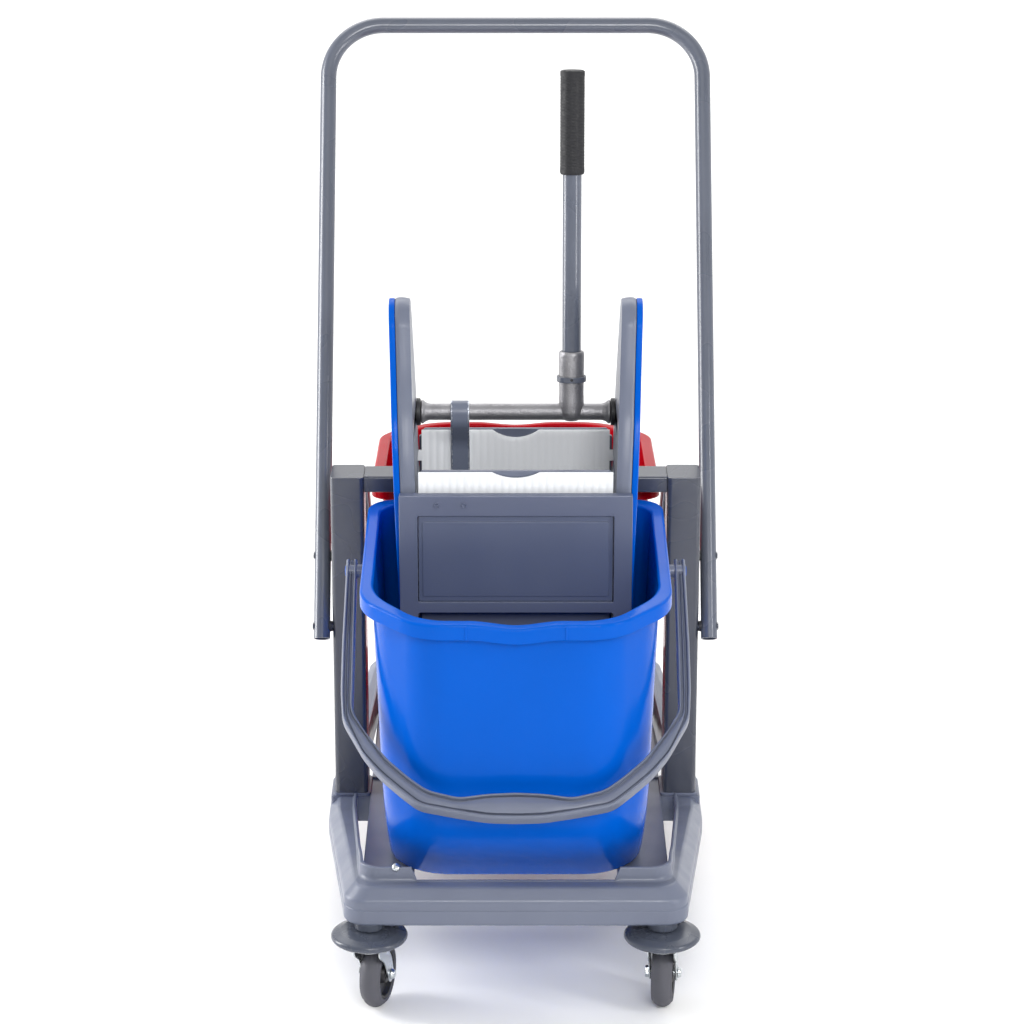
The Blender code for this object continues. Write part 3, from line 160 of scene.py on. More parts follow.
def rounded(corners, cut, steps=5, closed=True):
    """Every corner cut back along both sides, at most to their middles, and joined by a circle's arc:
    a rational quadratic curve whose middle weight is the cosine of half the turn."""
    corners = np.asarray(corners, float)
    before = np.roll(corners, 1, -2) - corners
    after = np.roll(corners, -1, -2) - corners
    shorter = np.minimum(np.linalg.norm(before, axis=-1), np.linalg.norm(after, axis=-1))
    back = np.minimum(np.broadcast_to(cut, shorter.shape), shorter * 0.49)[..., None]
    start = corners + unit(before) * back
    end = corners + unit(after) * back
    turn = np.clip((unit(before) * unit(after)).sum(-1), -1, 1)
    weight = np.sqrt((1 - turn) / 2)[..., None, None]
    t = np.linspace(0, 1, steps + 1)[:, None]
    share = (1 - t) ** 2 + 2 * weight * t * (1 - t) + t ** 2
    curve = (1 - t) ** 2 * start[..., None, :] + 2 * weight * t * (1 - t) * corners[..., None, :] \
        + t ** 2 * end[..., None, :]
    curve = curve / share
    flat = curve.reshape(*corners.shape[:-2], -1, corners.shape[-1])
    if closed:
        return flat
    inside = flat[..., steps + 1:-steps - 1, :]
    return np.concatenate([corners[..., :1, :], inside, corners[..., -1:, :]], axis=-2)


def rectangle(left, right, low, high, cut, steps=5):
    """A rectangle with rounded corners, counter-clockwise from its lower left."""
    return rounded([(left, low), (right, low), (right, high), (left, high)], cut, steps)


def outward(points, faces):
    """Faces turned so that the closed shell's signed volume, a sum of triangle prisms, is positive."""
    a, b, c = (points[faces[:, k]] for k in range(3))
    volume = (a * np.cross(b, c)).sum()
    if faces.shape[1] == 4:
        volume += (a * np.cross(c, points[faces[:, 3]])).sum()
    return points, faces if volume > 0 else faces[:, ::-1]


def skin(grid, round_rows=True, round_columns=True):
    """Quads over a grid of points; a round direction joins its last line to its first."""
    rows, columns = grid.shape[:2]
    r = np.arange(rows if round_rows else rows - 1)[:, None]
    c = np.arange(columns if round_columns else columns - 1)[None, :]
    r1 = (r + 1) % rows
    c1 = (c + 1) % columns
    faces = np.stack(np.broadcast_arrays(r * columns + c, r * columns + c1, r1 * columns + c1,
                                         r1 * columns + c), -1)
    return outward(grid.reshape(-1, 3), faces.reshape(-1, 4))


def capped(grid):
    """A grid of closed rings with its first and last ring drawn in to their centres."""
    first = np.broadcast_to(grid[:1].mean(1, keepdims=True), grid[:1].shape)
    last = np.broadcast_to(grid[-1:].mean(1, keepdims=True), grid[-1:].shape)
    return skin(np.concatenate([first, grid, last]), round_rows=False)


def sheet_of(outline, depth, edge, place, holes=()):
    """A flat outline with holes, given thickness and edges rounded off by a quarter circle.
    place maps the array columns (across, up, depth) to X, Y and Z."""
    curve = bpy.data.curves.new("outline", "CURVE")
    curve.dimensions = "2D"
    curve.fill_mode = "BOTH"
    curve.extrude = depth / 2 - edge
    curve.bevel_depth = edge
    curve.bevel_resolution = 1
    curve.offset = -edge
    for ring in (outline, *holes):
        ring = np.asarray(ring, float)
        spline = curve.splines.new("POLY")
        spline.points.add(len(ring) - 1)
        flat = np.column_stack([ring, np.zeros(len(ring)), np.ones(len(ring))])
        spline.points.foreach_set("co", flat.ravel())
        spline.use_cyclic_u = True
    carrier = bpy.data.objects.new("outline", curve)
    mesh = bpy.data.meshes.new_from_object(carrier)
    bpy.data.objects.remove(carrier)
    mesh.calc_loop_triangles()
    points = np.zeros(len(mesh.vertices) * 3)
    mesh.vertices.foreach_get("co", points)
    faces = np.zeros(len(mesh.loop_triangles) * 3, int)
    mesh.loop_triangles.foreach_get("vertices", faces)
    bpy.data.meshes.remove(mesh)
    across, up, deep = points.reshape(-1, 3).T
    return outward(np.column_stack(place(across, up, deep + depth / 2)), faces.reshape(-1, 3))


def block(x, y, z, edge=0.0015, corner=0.003):
    """A box with its upright edges rounded more than the level ones."""
    return sheet_of(rectangle(*x, *y, corner), z[1] - z[0], edge, lambda a, b, c: (a, b, z[0] + c))


def piece(name, shells, body, look, slot, *stands_for, crease=32):
    """Join shells into one object that rides on a body and stands for its CAD nodes."""
    points = np.concatenate([p for p, _ in shells])
    starts = np.cumsum([0] + [len(p) for p, _ in shells[:-1]])
    faces = [face for (_, f), start in zip(shells, starts) for face in (f + start).tolist()]
    mesh = bpy.data.meshes.new(name)
    mesh.from_pydata(points.tolist(), [], faces)
    bm = bmesh.new()
    bm.from_mesh(mesh)
    bmesh.ops.remove_doubles(bm, verts=bm.verts, dist=2e-7)
    bmesh.ops.dissolve_degenerate(bm, edges=bm.edges, dist=1e-8)
    bm.to_mesh(mesh)
    bm.free()
    mesh.shade_smooth()
    mesh.set_sharp_from_angle(angle=radians(crease))
    mesh.materials.append(look)
    made = bpy.data.objects.new(name, mesh)
    bpy.context.scene.collection.objects.link(made)
    even = made.modifiers.new("even_shading", "WEIGHTED_NORMAL")
    even.keep_sharp = True
    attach(made, body)
    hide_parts(*stands_for)
    return made


def moulded(name, colour, lighter, roughness, grain_mm, depth, specular=0.5):
    """Injection-moulded plastic: a slightly uneven tone, long flow marks in the gloss, and a fine
    spark-eroded pebble on the tool side, grain_mm across."""
    made, tree, shader = new_material(name, IOR=1.49, Specular_IOR_Level=specular)
    points = object_points(tree)
    cloud = node(tree, "ShaderNodeTexNoise", Vector=points, Scale=9.0, Detail=3.0)
    tone = node(tree, "ShaderNodeMix", {"data_type": "RGBA"}, Factor=cloud.outputs["Fac"],
                i6=linear(colour), i7=linear(lighter))
    stretch = node(tree, "ShaderNodeMapping", Vector=points, Scale=(34.0, 34.0, 5.0))
    flow = node(tree, "ShaderNodeTexNoise", Vector=stretch.outputs["Vector"], Scale=1.0, Detail=4.0)
    gloss = node(tree, "ShaderNodeMapRange", Value=flow.outputs["Fac"], i1=0.3, i2=0.7,
                 i3=roughness - 0.05, i4=roughness + 0.07)
    pebble = node(tree, "ShaderNodeTexNoise", Vector=points, Scale=1000 / grain_mm, Detail=2.0)
    relief = node(tree, "ShaderNodeBump", Height=pebble.outputs["Fac"], Strength=depth, Distance=0.0004)
    feed(tree, shader, Base_Color=tone.outputs[2], Roughness=gloss.outputs["Result"],
         Normal=relief.outputs["Normal"])
    return made


# Polypropylene moulded in a textured tool: a soft blue-grey sheen, never a sharp reflection.
grey_polypropylene = moulded("moulded_grey_polypropylene", "5c6273", "666c7d", 0.34, 1.6, 0.22)

HALF_LENGTH = 0.384
FRONT_HALF_WIDTH = 0.1925
MID_HALF_WIDTH = 0.2285
FLARE_END = 0.06
EDGE = 0.0125
EDGE_DROP = 0.0135
RAIL_INNER_FRONT = 0.172
RAIL_INNER_MID = 0.194
BEAM_DEPTH = 0.032
END_BOTTOM, END_TOP = 0.120, 0.163
MID_BOTTOM, MID_TOP = 0.092, 0.1275
LIP_TALL, LIP_LOW, LIP_THICK = 0.017, 0.004, 0.004
LIP_HALF_GAP, LIP_SLANT = 0.118, 0.006
CORNER_CUT = 0.032
LEDGE_INNER, LEDGE_TOP, LEDGE_THICK = 0.118, 0.1307, 0.009
FLARE_LENGTH = HALF_LENGTH - FLARE_END


def chassis_plan(length, end, middle, corner_cut):
    """A closed plan line: across the front, round the corner, along the flared side, and mirrored."""
    share = np.array([0.15, 0.40])[:, None]
    corner = np.array([[end, -length]])
    waist = np.array([[middle, -FLARE_END]])
    low = np.array([[LIP_HALF_GAP - LIP_SLANT, -length], [LIP_HALF_GAP, -length]])
    quarter = np.concatenate([low, corner, corner + (waist - corner) * share, waist])
    right = np.concatenate([quarter, quarter[::-1] * (1, -1)])
    plan = np.concatenate([right, right[::-1] * (-1, 1)])
    cuts = np.tile(np.concatenate([[0, 0, corner_cut, 0, 0, 0.02], [0.02, 0, 0, corner_cut, 0, 0]]), 2)
    return rounded(plan, cuts, 9)


outer = chassis_plan(HALF_LENGTH, FRONT_HALF_WIDTH, MID_HALF_WIDTH, CORNER_CUT)
keep = np.linalg.norm(outer - np.roll(outer, 1, 0), axis=1) > 1e-7
edge = chassis_plan(HALF_LENGTH - EDGE, FRONT_HALF_WIDTH - EDGE, MID_HALF_WIDTH - EDGE,
                    CORNER_CUT - EDGE)[keep]
inner_y = HALF_LENGTH - BEAM_DEPTH
inner, lip = (chassis_plan(inner_y + out, RAIL_INNER_FRONT + out, RAIL_INNER_MID + out, CORNER_CUT)[keep]
              for out in (0, LIP_THICK))
outer = outer[keep]
away = np.abs(outer[:, 1])
dip = np.clip((HALF_LENGTH - 0.03 - away) / (FLARE_LENGTH - 0.03), 0, 1)
low = END_BOTTOM + (MID_BOTTOM - END_BOTTOM) * dip
top = END_TOP + (MID_TOP - END_TOP) * dip
end_rise = np.interp(np.abs(outer[:, 0]), [LIP_HALF_GAP - LIP_SLANT, LIP_HALF_GAP], [LIP_LOW / 4, LIP_TALL])
side_rise = np.interp(away, [0, HALF_LENGTH - 0.40 * FLARE_LENGTH, HALF_LENGTH - 0.15 * FLARE_LENGTH],
                      [LIP_LOW, LIP_LOW, LIP_TALL])
rise = np.minimum(end_rise, side_rise)
SEAM_STEP = 0.0010
waist = low + (top - EDGE_DROP - low) * 0.62
stepped = outer * (1 - SEAM_STEP * 3)
section = np.stack([np.column_stack(pair) for pair in (
    (outer, low), (outer, waist), (stepped, waist + SEAM_STEP), (stepped, top - EDGE_DROP), (edge, top),
    (lip, top), (lip, top + rise), (inner, top + rise), (inner, low))], 1)
bends = np.array([0.004, 0.0002, 0.0002, 0.003, 0.003, 0.005, 0.0015, 0.0015, 0.001])
shells = [skin(rounded(section, bends, 4))]
span = RAIL_INNER_MID + 0.005
shells.append(block((-span, span), (-0.030, 0.030), (MID_BOTTOM + 0.004, MID_TOP)))
for side in (-1, 1):
    shells.append(block(sorted((side * 0.177, side * 0.2265)), (-0.0295, 0.0295),
                        (MID_BOTTOM + 0.002, MID_TOP + 0.0002)))
    for end in (-1, 1):
        shells.append(block(sorted((side * LEDGE_INNER, side * 0.178)), sorted((end * 0.024, end * 0.358)),
                            (LEDGE_TOP - LEDGE_THICK, LEDGE_TOP)))
piece("chassis_moulding", shells, "chassis", grey_polypropylene, "grey_plastic", "chassis")
NEAR_AXIS = 1e-5  # radius where a turned profile meets its axis
# A small domed plug on the front-left lip. Its bright zinc finish is a painted glint.
plug = [(NEAR_AXIS, -0.002), (0.0046, -0.002), (0.0050, 0.0006), (0.0036, 0.0028), (NEAR_AXIS, 0.0036)]
plug_place = (-0.1353, -inner_y - LIP_THICK * 0.6, END_TOP + LIP_TALL - 0.0004)
# ---------------------------------------------------------------- castors
# Four 80 mm swivel castors: a domed bumper disc moulded in grey, a pressed and zinc-plated fork,
# a black hub on a plain bolt axle, and a grey non-marking rubber tread.

def stand(points, origin, axis):
    """Local points moved so that their Z runs along an axis and their origin lies on a point."""
    axis = unit(np.asarray(axis, float))
    side = unit(np.cross((0.0, 0.0, 1.0), axis)) if abs(axis[2]) < 0.999 else np.array((1.0, 0.0, 0.0))
    frame_rows = np.stack([side, np.cross(axis, side), axis])
    return points @ frame_rows + np.asarray(origin, float)


def turned(profile, origin=(0, 0, 0), axis=(0, 0, 1), steps=48, soften=0.0):
    """A closed line of (radius, height) points, its corners softened, carried once round an axis."""
    profile = np.asarray(profile, float)
    if soften:
        profile = rounded(profile, soften, 3)
    turn = np.linspace(0, 2 * pi, steps, endpoint=False)[:, None]
    radius, height = profile.T
    grid = np.stack(np.broadcast_arrays(radius * np.cos(turn), radius * np.sin(turn), height), -1)
    return skin(stand(grid, origin, axis))


def moved(shells, yaw, x, y):
    """Shells turned about Z and shifted across the floor."""
    turn = radians(yaw)
    rows = np.array([[cos(turn), sin(turn), 0], [-sin(turn), cos(turn), 0], [0, 0, 1]])
    return [(points @ rows + (x, y, 0), faces) for points, faces in shells]


def arc(centre, radius, start, end, count):
    """Points on a circle's arc, angles in degrees."""
    t = np.radians(np.linspace(start, end, count))
    return np.column_stack([centre[0] + radius * np.cos(t), centre[1] + radius * np.sin(t)])


def across(x):
    """Places a flat outline drawn in (Y, Z) with its thickness towards +X, from x."""
    return lambda a, b, c: (x + c, a, b)


def mottled(name, scale, detail, colours, gloss, window=(0.3, 0.7), **settings):
    """A surface whose tone and roughness drift together between two ends, scale patches to the metre;
    the last thing returned is the drift itself."""
    made, tree, shader = new_material(name, **settings)
    drift = node(tree, "ShaderNodeTexNoise", Vector=object_points(tree), Scale=scale, Detail=detail)
    tone = node(tree, "ShaderNodeMix", {"data_type": "RGBA"}, Factor=drift.outputs["Fac"],
                i6=linear(colours[0]), i7=linear(colours[1]))
    roughness = node(tree, "ShaderNodeMapRange", Value=drift.outputs["Fac"], i1=window[0], i2=window[1],
                     i3=gloss[0], i4=gloss[1])
    feed(tree, shader, Base_Color=tone.outputs[2], Roughness=roughness.outputs["Result"])
    return made, tree, shader, drift.outputs["Fac"]


# Zinc electroplate on pressed steel: a bright cool metal, smeared between clear and hazy.
zinc, *_ = mottled("bright_zinc_plate", 60.0, 3.0, ("b9bfc4", "d2d6d6"), (0.22, 0.36), Metallic=1.0)

# Moulded tread rubber: matt and dusty, with a gritty face that catches no sharp light.
tread_rubber, tree, shader, dust = mottled("grey_tread_rubber", 140.0, 4.0, ("45454c", "58585f"), (0.55, 0.8),
                                           (0.35, 0.65), IOR=1.52, Specular_IOR_Level=0.35)
relief = node(tree, "ShaderNodeBump", Height=dust, Strength=0.35, Distance=0.0005)
feed(tree, shader, Normal=relief.outputs["Normal"])

# Nylon hubs and bushes are near black with a dull sheen; the bumpers are a smoother dark grey.
black_plastic = moulded("moulded_black_nylon", "1d1d20", "26262a", 0.45, 1.2, 0.2)
bumper_plastic = moulded("moulded_dark_grey_bumper", "3f4450", "484d59", 0.26, 1.4, 0.12)
# The lip plug's bright zinc finish is a painted glint.
piece("lip_plug_with_painted_glint", [turned(plug, plug_place, (0, -0.6, 0.8), 28, 0.0008)], "chassis", zinc, "zinc_steel")

WHEEL_RADIUS, WHEEL_WIDTH, TYRE_DEPTH, TRAIL = 0.040, 0.024, 0.0105, 0.030
BUMPER_RADIUS, BUMPER_Z, BUMPER_HEIGHT = 0.0435, 0.0965, 0.014
SWIVEL_X, SWIVEL_Y = 0.166, 0.365
LEG_INNER, LEG_SHEET, CROWN_LOW = 0.0142, 0.002, 0.086
CASTOR_YAW = {"front_left": -15, "front_right": -7, "rear_left": 172, "rear_right": 196}

half = WHEEL_WIDTH / 2
hub_line = (0, TRAIL, WHEEL_RADIUS)
sideways = (1, 0, 0)
bulge = arc((WHEEL_RADIUS - 0.0125, 0), 0.0125, -58, 58, 15) * (1, 0.98)
shoulder = WHEEL_RADIUS - 0.0068
tread = np.concatenate([[(WHEEL_RADIUS - TYRE_DEPTH, -half), (shoulder, -half)], bulge,
                        [(shoulder, half), (WHEEL_RADIUS - TYRE_DEPTH, half)]])
tyre_shells = [turned(tread, hub_line, sideways, 64, 0.001)]
rim_out = WHEEL_RADIUS - TYRE_DEPTH - 0.0003
hub_side = [(rim_out, 0.011), (rim_out - 0.003, 0.011), (rim_out - 0.0045, 0.0055), (0.0125, 0.0045),
            (0.0105, 0.0115), (0.0045, 0.0115)]
hub_profile = hub_side + [(r, -h) for r, h in reversed(hub_side)]
hub_shells = [turned(hub_profile, hub_line, sideways, 48, 0.0007)]
reach = LEG_INNER + LEG_SHEET + 0.0003
bolt = [(NEAR_AXIS, reach + 0.0042), (0.0048, reach + 0.0038), (0.0062, reach + 0.0008), (0.0062, reach),
        (0.004, reach)]
axle_shells = [turned(bolt + [(r, -h) for r, h in reversed(bolt)], hub_line, sideways, 24, 0.0004)]
nut = arc((0, 0), 0.0068, 0, 300, 6)
axle_shells.append(sheet_of(nut + hub_line[1:], 0.0045, 0.0005, across(-reach - 0.0045)))

leg = np.concatenate([[(-0.013, CROWN_LOW + 0.002), (-0.0122, 0.078), (0.0065, 0.064)],
                      arc(hub_line[1:], 0.0092, 185, 372, 16),
                      [(0.0335, 0.060), (0.0185, 0.079), (0.013, CROWN_LOW + 0.002)]])
leg = rounded(leg, 0.005, 3)
eye = arc(hub_line[1:], 0.0043, 0, 337.5, 16)
fork_shells = [sheet_of(leg, LEG_SHEET, 0.0005, across(x), [eye]) for x in (LEG_INNER, -LEG_INNER - LEG_SHEET)]
STEM_RADIUS, STEM_TOP, STEM_BORE = 0.005, 0.1448, 0.0056
crown = [(NEAR_AXIS, CROWN_LOW), (0.0205, CROWN_LOW), (0.0215, CROWN_LOW + 0.0035), (0.0135, CROWN_LOW + 0.0037),
         (0.0125, BUMPER_Z - 0.0004), (STEM_RADIUS, BUMPER_Z - 0.0004), (STEM_RADIUS, STEM_TOP), (NEAR_AXIS, STEM_TOP)]
fork_shells.append(turned(crown, steps=40, soften=0.0008))
disc_top = BUMPER_Z + BUMPER_HEIGHT
dome = [(STEM_BORE, BUMPER_Z + 0.0003), (0.0385, BUMPER_Z + 0.0003), (0.0405, BUMPER_Z),
        *arc((BUMPER_RADIUS - 0.0042, BUMPER_Z + 0.0044), 0.0042, -70, 75, 9),
        (0.033, BUMPER_Z + 0.0112), (0.021, disc_top - 0.0006), (STEM_BORE, disc_top)]
boss = [(STEM_BORE, 0.1112), (0.0168, 0.1112), (0.0182, 0.126), (STEM_BORE, 0.126)]
disc_shells = [turned(dome, steps=72, soften=0.0006), turned(boss, steps=40, soften=0.001)]

for corner, yaw in CASTOR_YAW.items():
    x = SWIVEL_X if "right" in corner else -SWIVEL_X
    y = -SWIVEL_Y if "front" in corner else SWIVEL_Y
    castor, wheel = "castor_" + corner, "wheel_" + corner
    for name, shells, body, look, slot, node_name in (
            ("bumper_", disc_shells, "chassis", bumper_plastic, "grey_plastic", "bumper_disc_"),
            ("fork_", fork_shells, castor, zinc, "zinc_steel", "castor_fork_"),
            ("axle_", axle_shells, castor, zinc, "zinc_steel", "wheel_axle_"),
            ("tyre_", tyre_shells, wheel, tread_rubber, "grey_rubber", "wheel_tyre_"),
            ("hub_", hub_shells, wheel, black_plastic, "dark_plastic", "wheel_hub_")):
        piece(name + corner, moved(shells, yaw, x, y), body, look, slot, node_name + corner)


# ---------------------------------------------------------------- posts, cross bar and push handle
# Rectangular steel tubes welded into an arch over the chassis sockets, and one bent round tube
# bolted to the posts through short spacers. All of it is painted in a semi-gloss blue-grey.

def painted(name, colours, roughness):
    """Sprayed enamel on steel: an even tone, the faint dimples of orange peel about 3 mm apart, and
    a gloss that is duller where dust has settled in."""
    made, tree, shader, _ = mottled(name, 14.0, 1.0, colours, (roughness - 0.02, roughness + 0.03),
                                    IOR=1.5, Coat_Weight=0.25, Coat_Roughness=0.12)
    peel = node(tree, "ShaderNodeTexNoise", Vector=object_points(tree), Scale=330.0, Detail=1.0)
    relief = node(tree, "ShaderNodeBump", Height=peel.outputs["Fac"], Strength=0.03, Distance=0.0005)
    feed(tree, shader, Normal=relief.outputs["Normal"])
    return made


# Stoved enamel reads as a smooth satin skin with soft bright bands. The posts and the cross bar take a darker
# copy of the same enamel: a painted dark reflection of the room that their gloss mirrors.
enamel = painted("grey_enamel_on_steel", ("4f5460", "5a5f6c"), 0.28)
post_enamel_painted_dark_reflection = painted("enamel_with_painted_dark_reflection", ("353842", "3f434e"), 0.26)

POST_INNER_X, POST_OUTER_X, POST_DEPTH, POST_TOP = 0.181, 0.221, 0.055, 0.537
PAD_TOP = 0.1279
BAR_DEPTH, BAR_HEIGHT = 0.045, 0.020
SIDES = ((-1, "left"), (1, "right"))
post_y, collar_y = POST_DEPTH / 2, POST_DEPTH / 2 + 0.002
# The posts and the cross bar wear the darker copy of the enamel, which is a painted dark reflection.
for side, word in SIDES:
    post = block(sorted((side * POST_INNER_X, side * POST_OUTER_X)), (-post_y, post_y), (PAD_TOP, POST_TOP),
                 0.0012, 0.0055)
    collar = block(sorted((side * (POST_INNER_X - 0.0035), side * (POST_OUTER_X + 0.0035))),
                   (-collar_y, collar_y), (PAD_TOP - 0.0004, PAD_TOP + 0.0035), 0.001, 0.006)
    piece("post_tube_" + word, [post], "chassis", post_enamel_painted_dark_reflection, "painted_steel", "post_" + word)
    piece("post_collar_" + word, [collar], "chassis", grey_polypropylene, "grey_plastic")
bar_outline = rectangle(-BAR_DEPTH / 2, BAR_DEPTH / 2, POST_TOP - BAR_HEIGHT, POST_TOP, 0.003)
bar_half = POST_INNER_X - 0.0003
piece("cross_bar_tube", [sheet_of(bar_outline, 2 * bar_half, 0.0003, across(-bar_half))], "chassis", post_enamel_painted_dark_reflection,
      "painted_steel", "cross_bar")


def carried(path, across_line, profile):
    """A closed (side, up) profile carried along a path that lies in a plane: side is square to the
    path in the plane, and up is across_line, the plane's own normal."""
    side = unit(np.cross(unit(np.gradient(path, axis=0)), across_line))
    return path[:, None] + profile[None, :, :1] * side[:, None] + profile[None, :, 1:] * across_line


HANDLE_X, HANDLE_RADIUS, HANDLE_WALL = 0.234, 0.010, 0.0015
HANDLE_LEAN, HANDLE_PIVOT_Z = radians(30), 0.385
HANDLE_BELOW, HANDLE_ABOVE, HANDLE_BEND = 0.059, 0.722, 0.068
BOLT_PITCH = 0.087


def on_handle(x, along):
    """A point of the handle's plane, which leans back: x across, along from the post's middle."""
    return np.stack(np.broadcast_arrays(x, along * sin(HANDLE_LEAN),
                                        HANDLE_PIVOT_Z + along * cos(HANDLE_LEAN)), -1)


bend = arc((HANDLE_X - HANDLE_BEND, HANDLE_ABOVE - HANDLE_BEND), HANDLE_BEND, 0, 90, 25)
half_line = np.concatenate([[(HANDLE_X, -HANDLE_BELOW), (HANDLE_X, -HANDLE_BELOW + 0.002)], bend])
line = np.concatenate([half_line, half_line[::-1] * (-1, 1)])
spine = on_handle(line[:, 0], line[:, 1])
lean_normal = np.array([0, cos(HANDLE_LEAN), -sin(HANDLE_LEAN)])
circle = arc((0, 0), 1, 0, 345, 24)
outside = carried(spine, lean_normal, circle * HANDLE_RADIUS)
inside = carried(spine, lean_normal, circle * (HANDLE_RADIUS - HANDLE_WALL))
piece("push_handle_tube", [skin(np.concatenate([outside, inside[::-1]]))], "chassis", enamel, "painted_steel",
      "push_handle")
for side, word in SIDES:
    for along, level in ((-BOLT_PITCH / 2, "lower"), (BOLT_PITCH / 2, "upper")):
        place = on_handle(0.0, along)
        head = HANDLE_X + HANDLE_RADIUS
        bolt = [(NEAR_AXIS, 0.211), (0.003, 0.211), (0.003, head + 0.0004), (0.0052, head + 0.0004),
                (0.0046, head + 0.0011), (0.0028, head + 0.0016), (NEAR_AXIS, head + 0.0018)]
        piece("bolt_%s_%s" % (word, level), [turned(bolt, place, (side, 0, 0), 28, 0.0003)], "chassis", enamel,
              "painted_steel", "handle_bolt_%s_%s" % (word, level))
        end = HANDLE_X - HANDLE_RADIUS + 0.0012
        ring = [(0.0033, POST_OUTER_X), (0.0062, POST_OUTER_X), (0.0068, end), (0.0033, end)]
        piece("spacer_%s_%s" % (word, level), [turned(ring, place, (side, 0, 0), 28, 0.0004)], "chassis",
              black_plastic, "painted_steel", "handle_spacer_%s_%s" % (word, level))


# ---------------------------------------------------------------- buckets
# Two 25-litre buckets injection moulded in polypropylene, one blue and one red: thin walls with
# draft, cut-off front corners, a belly that turns under, and a stiff rim that dips to a spout.

RIM_HALF_WIDTH, RIM_FRONT, RIM_REAR = 0.175, 0.388, 0.024
RIM_CHAMFER, RIM_FRONT_HALF = 0.072, 0.110
RIM_Z_FRONT, RIM_Z_REAR = 0.483, 0.510
RIM_FLANGE, RIM_SKIRT, BUCKET_WALL = 0.012, 0.018, 0.003
BASE_HALF_WIDTH, BASE_FRONT, BASE_REAR = 0.146, 0.272, 0.050
BASE_FRONT_HALF, BASE_CHAMFER, BUCKET_CORNER = 0.106, 0.045, 0.030
BELLY_Z, BELLY_FRONT = 0.270, 0.365
SPOUT_DROP, SPOUT_BULGE, SPOUT_HALF = 0.0042, 0.002, 0.052
BAIL_Y, BAIL_Z, PEG_RADIUS = 0.165, 0.468, 0.006


def bucket_plan(front, front_half, chamfer, half_width, rear):
    """Plan outlines, one for each value given: six corners rounded, and the front edge in 24 steps."""
    right = ((front_half, -front), (half_width, chamfer - front), (half_width, -rear))
    around = [*right, *((-x, y) for x, y in reversed(right))]
    corners = np.stack([np.stack(np.broadcast_arrays(*point), -1) for point in around], -2)
    loop = rounded(corners, BUCKET_CORNER, 10)
    share = np.linspace(0, 1, 26)[1:-1, None]
    edge = loop[..., -1:, :] * (1 - share) + loop[..., :1, :] * share
    return np.concatenate([loop, edge], -2)


def wall_rings(z, inward):
    """The bucket's wall at each height: above the belly the front leans out in a straight line to the
    rim, and below it the front runs under on a curve of power 1.8."""
    rim_z = RIM_Z_FRONT - RIM_SKIRT / 2
    share = (z - LEDGE_TOP) / (rim_z - LEDGE_TOP)
    above = BELLY_FRONT + (RIM_FRONT - RIM_FLANGE - BELLY_FRONT) * (z - BELLY_Z) / (rim_z - BELLY_Z)
    under = np.clip(1 - (z - LEDGE_TOP) / (BELLY_Z - LEDGE_TOP), 0, 1)
    below = BELLY_FRONT + (BASE_FRONT - BELLY_FRONT) * under ** 1.8
    front = np.where(z >= BELLY_Z, above, below)
    widening = RIM_HALF_WIDTH - RIM_FLANGE - 0.002 - BASE_HALF_WIDTH
    half_width = BASE_HALF_WIDTH + widening * np.maximum(share, 0) ** 0.8
    rear = BASE_REAR + (RIM_REAR + RIM_FLANGE - BASE_REAR) * share
    front_half = BASE_FRONT_HALF + (RIM_FRONT_HALF - RIM_FLANGE / 2 - BASE_FRONT_HALF) * share
    chamfer = BASE_CHAMFER + (RIM_CHAMFER - BASE_CHAMFER) * share
    plan = bucket_plan(front - inward, front_half - inward * 0.4, chamfer, half_width - inward, rear + inward)
    return np.concatenate([plan, np.broadcast_to(z[:, None, None], (*plan.shape[:-1], 1))], -1)


def rim_rings(inward, below):
    """The rim at each step of its section: moved inwards and down, with the spout's dip and bulge,
    both half a cosine wave wide."""
    plan = bucket_plan(RIM_FRONT - inward, RIM_FRONT_HALF - inward * 0.4, np.full_like(inward, RIM_CHAMFER),
                       RIM_HALF_WIDTH - inward, RIM_REAR + inward)
    x, y = plan[..., 0], plan[..., 1]
    on_front = (y < -RIM_FRONT + inward[:, None] + 0.001) & (np.abs(x) < SPOUT_HALF)
    wave = np.where(on_front, np.cos(x / SPOUT_HALF * pi / 2) ** 2, 0.0)
    height = RIM_Z_FRONT + (RIM_Z_REAR - RIM_Z_FRONT) * (RIM_FRONT + y) / (RIM_FRONT - RIM_REAR)
    return np.stack([x, y - SPOUT_BULGE * wave, height - SPOUT_DROP * wave - below[:, None]], -1)


def bucket_shell():
    """One closed skin: foot radius, outer wall, hollow rim and inner wall."""
    low = LEDGE_TOP + 0.0003
    foot = 0.009
    turn = np.linspace(0, pi / 2, 6)
    foot_z = low + foot * (1 - np.cos(turn))
    foot_in = foot * (1 - np.sin(turn))
    z = np.concatenate([foot_z, np.linspace(low + foot, 0.450, 34)[1:]])
    inward = np.concatenate([foot_in, np.zeros(33)])
    outer = wall_rings(z, inward)
    inside = RIM_FLANGE + BUCKET_WALL
    section = [(RIM_FLANGE, 0.0060), (RIM_FLANGE - 0.0024, 0.0024), (0.0024, 0.0024), (0.0024, RIM_SKIRT),
               (0.0, RIM_SKIRT), (0.0, 0.0), (inside, 0.0), (inside, 0.010)]
    section = rounded(section, [0, 0.002, 0.001, 0.0008, 0.0011, 0.0032, 0.0035, 0], 4, closed=False)
    rim = rim_rings(section[:, 0], section[:, 1])
    z_in = z + np.linspace(BUCKET_WALL, 0, len(z))
    inner = wall_rings(z_in, inward + BUCKET_WALL)
    return capped(np.concatenate([outer, rim, inner[::-1]]))


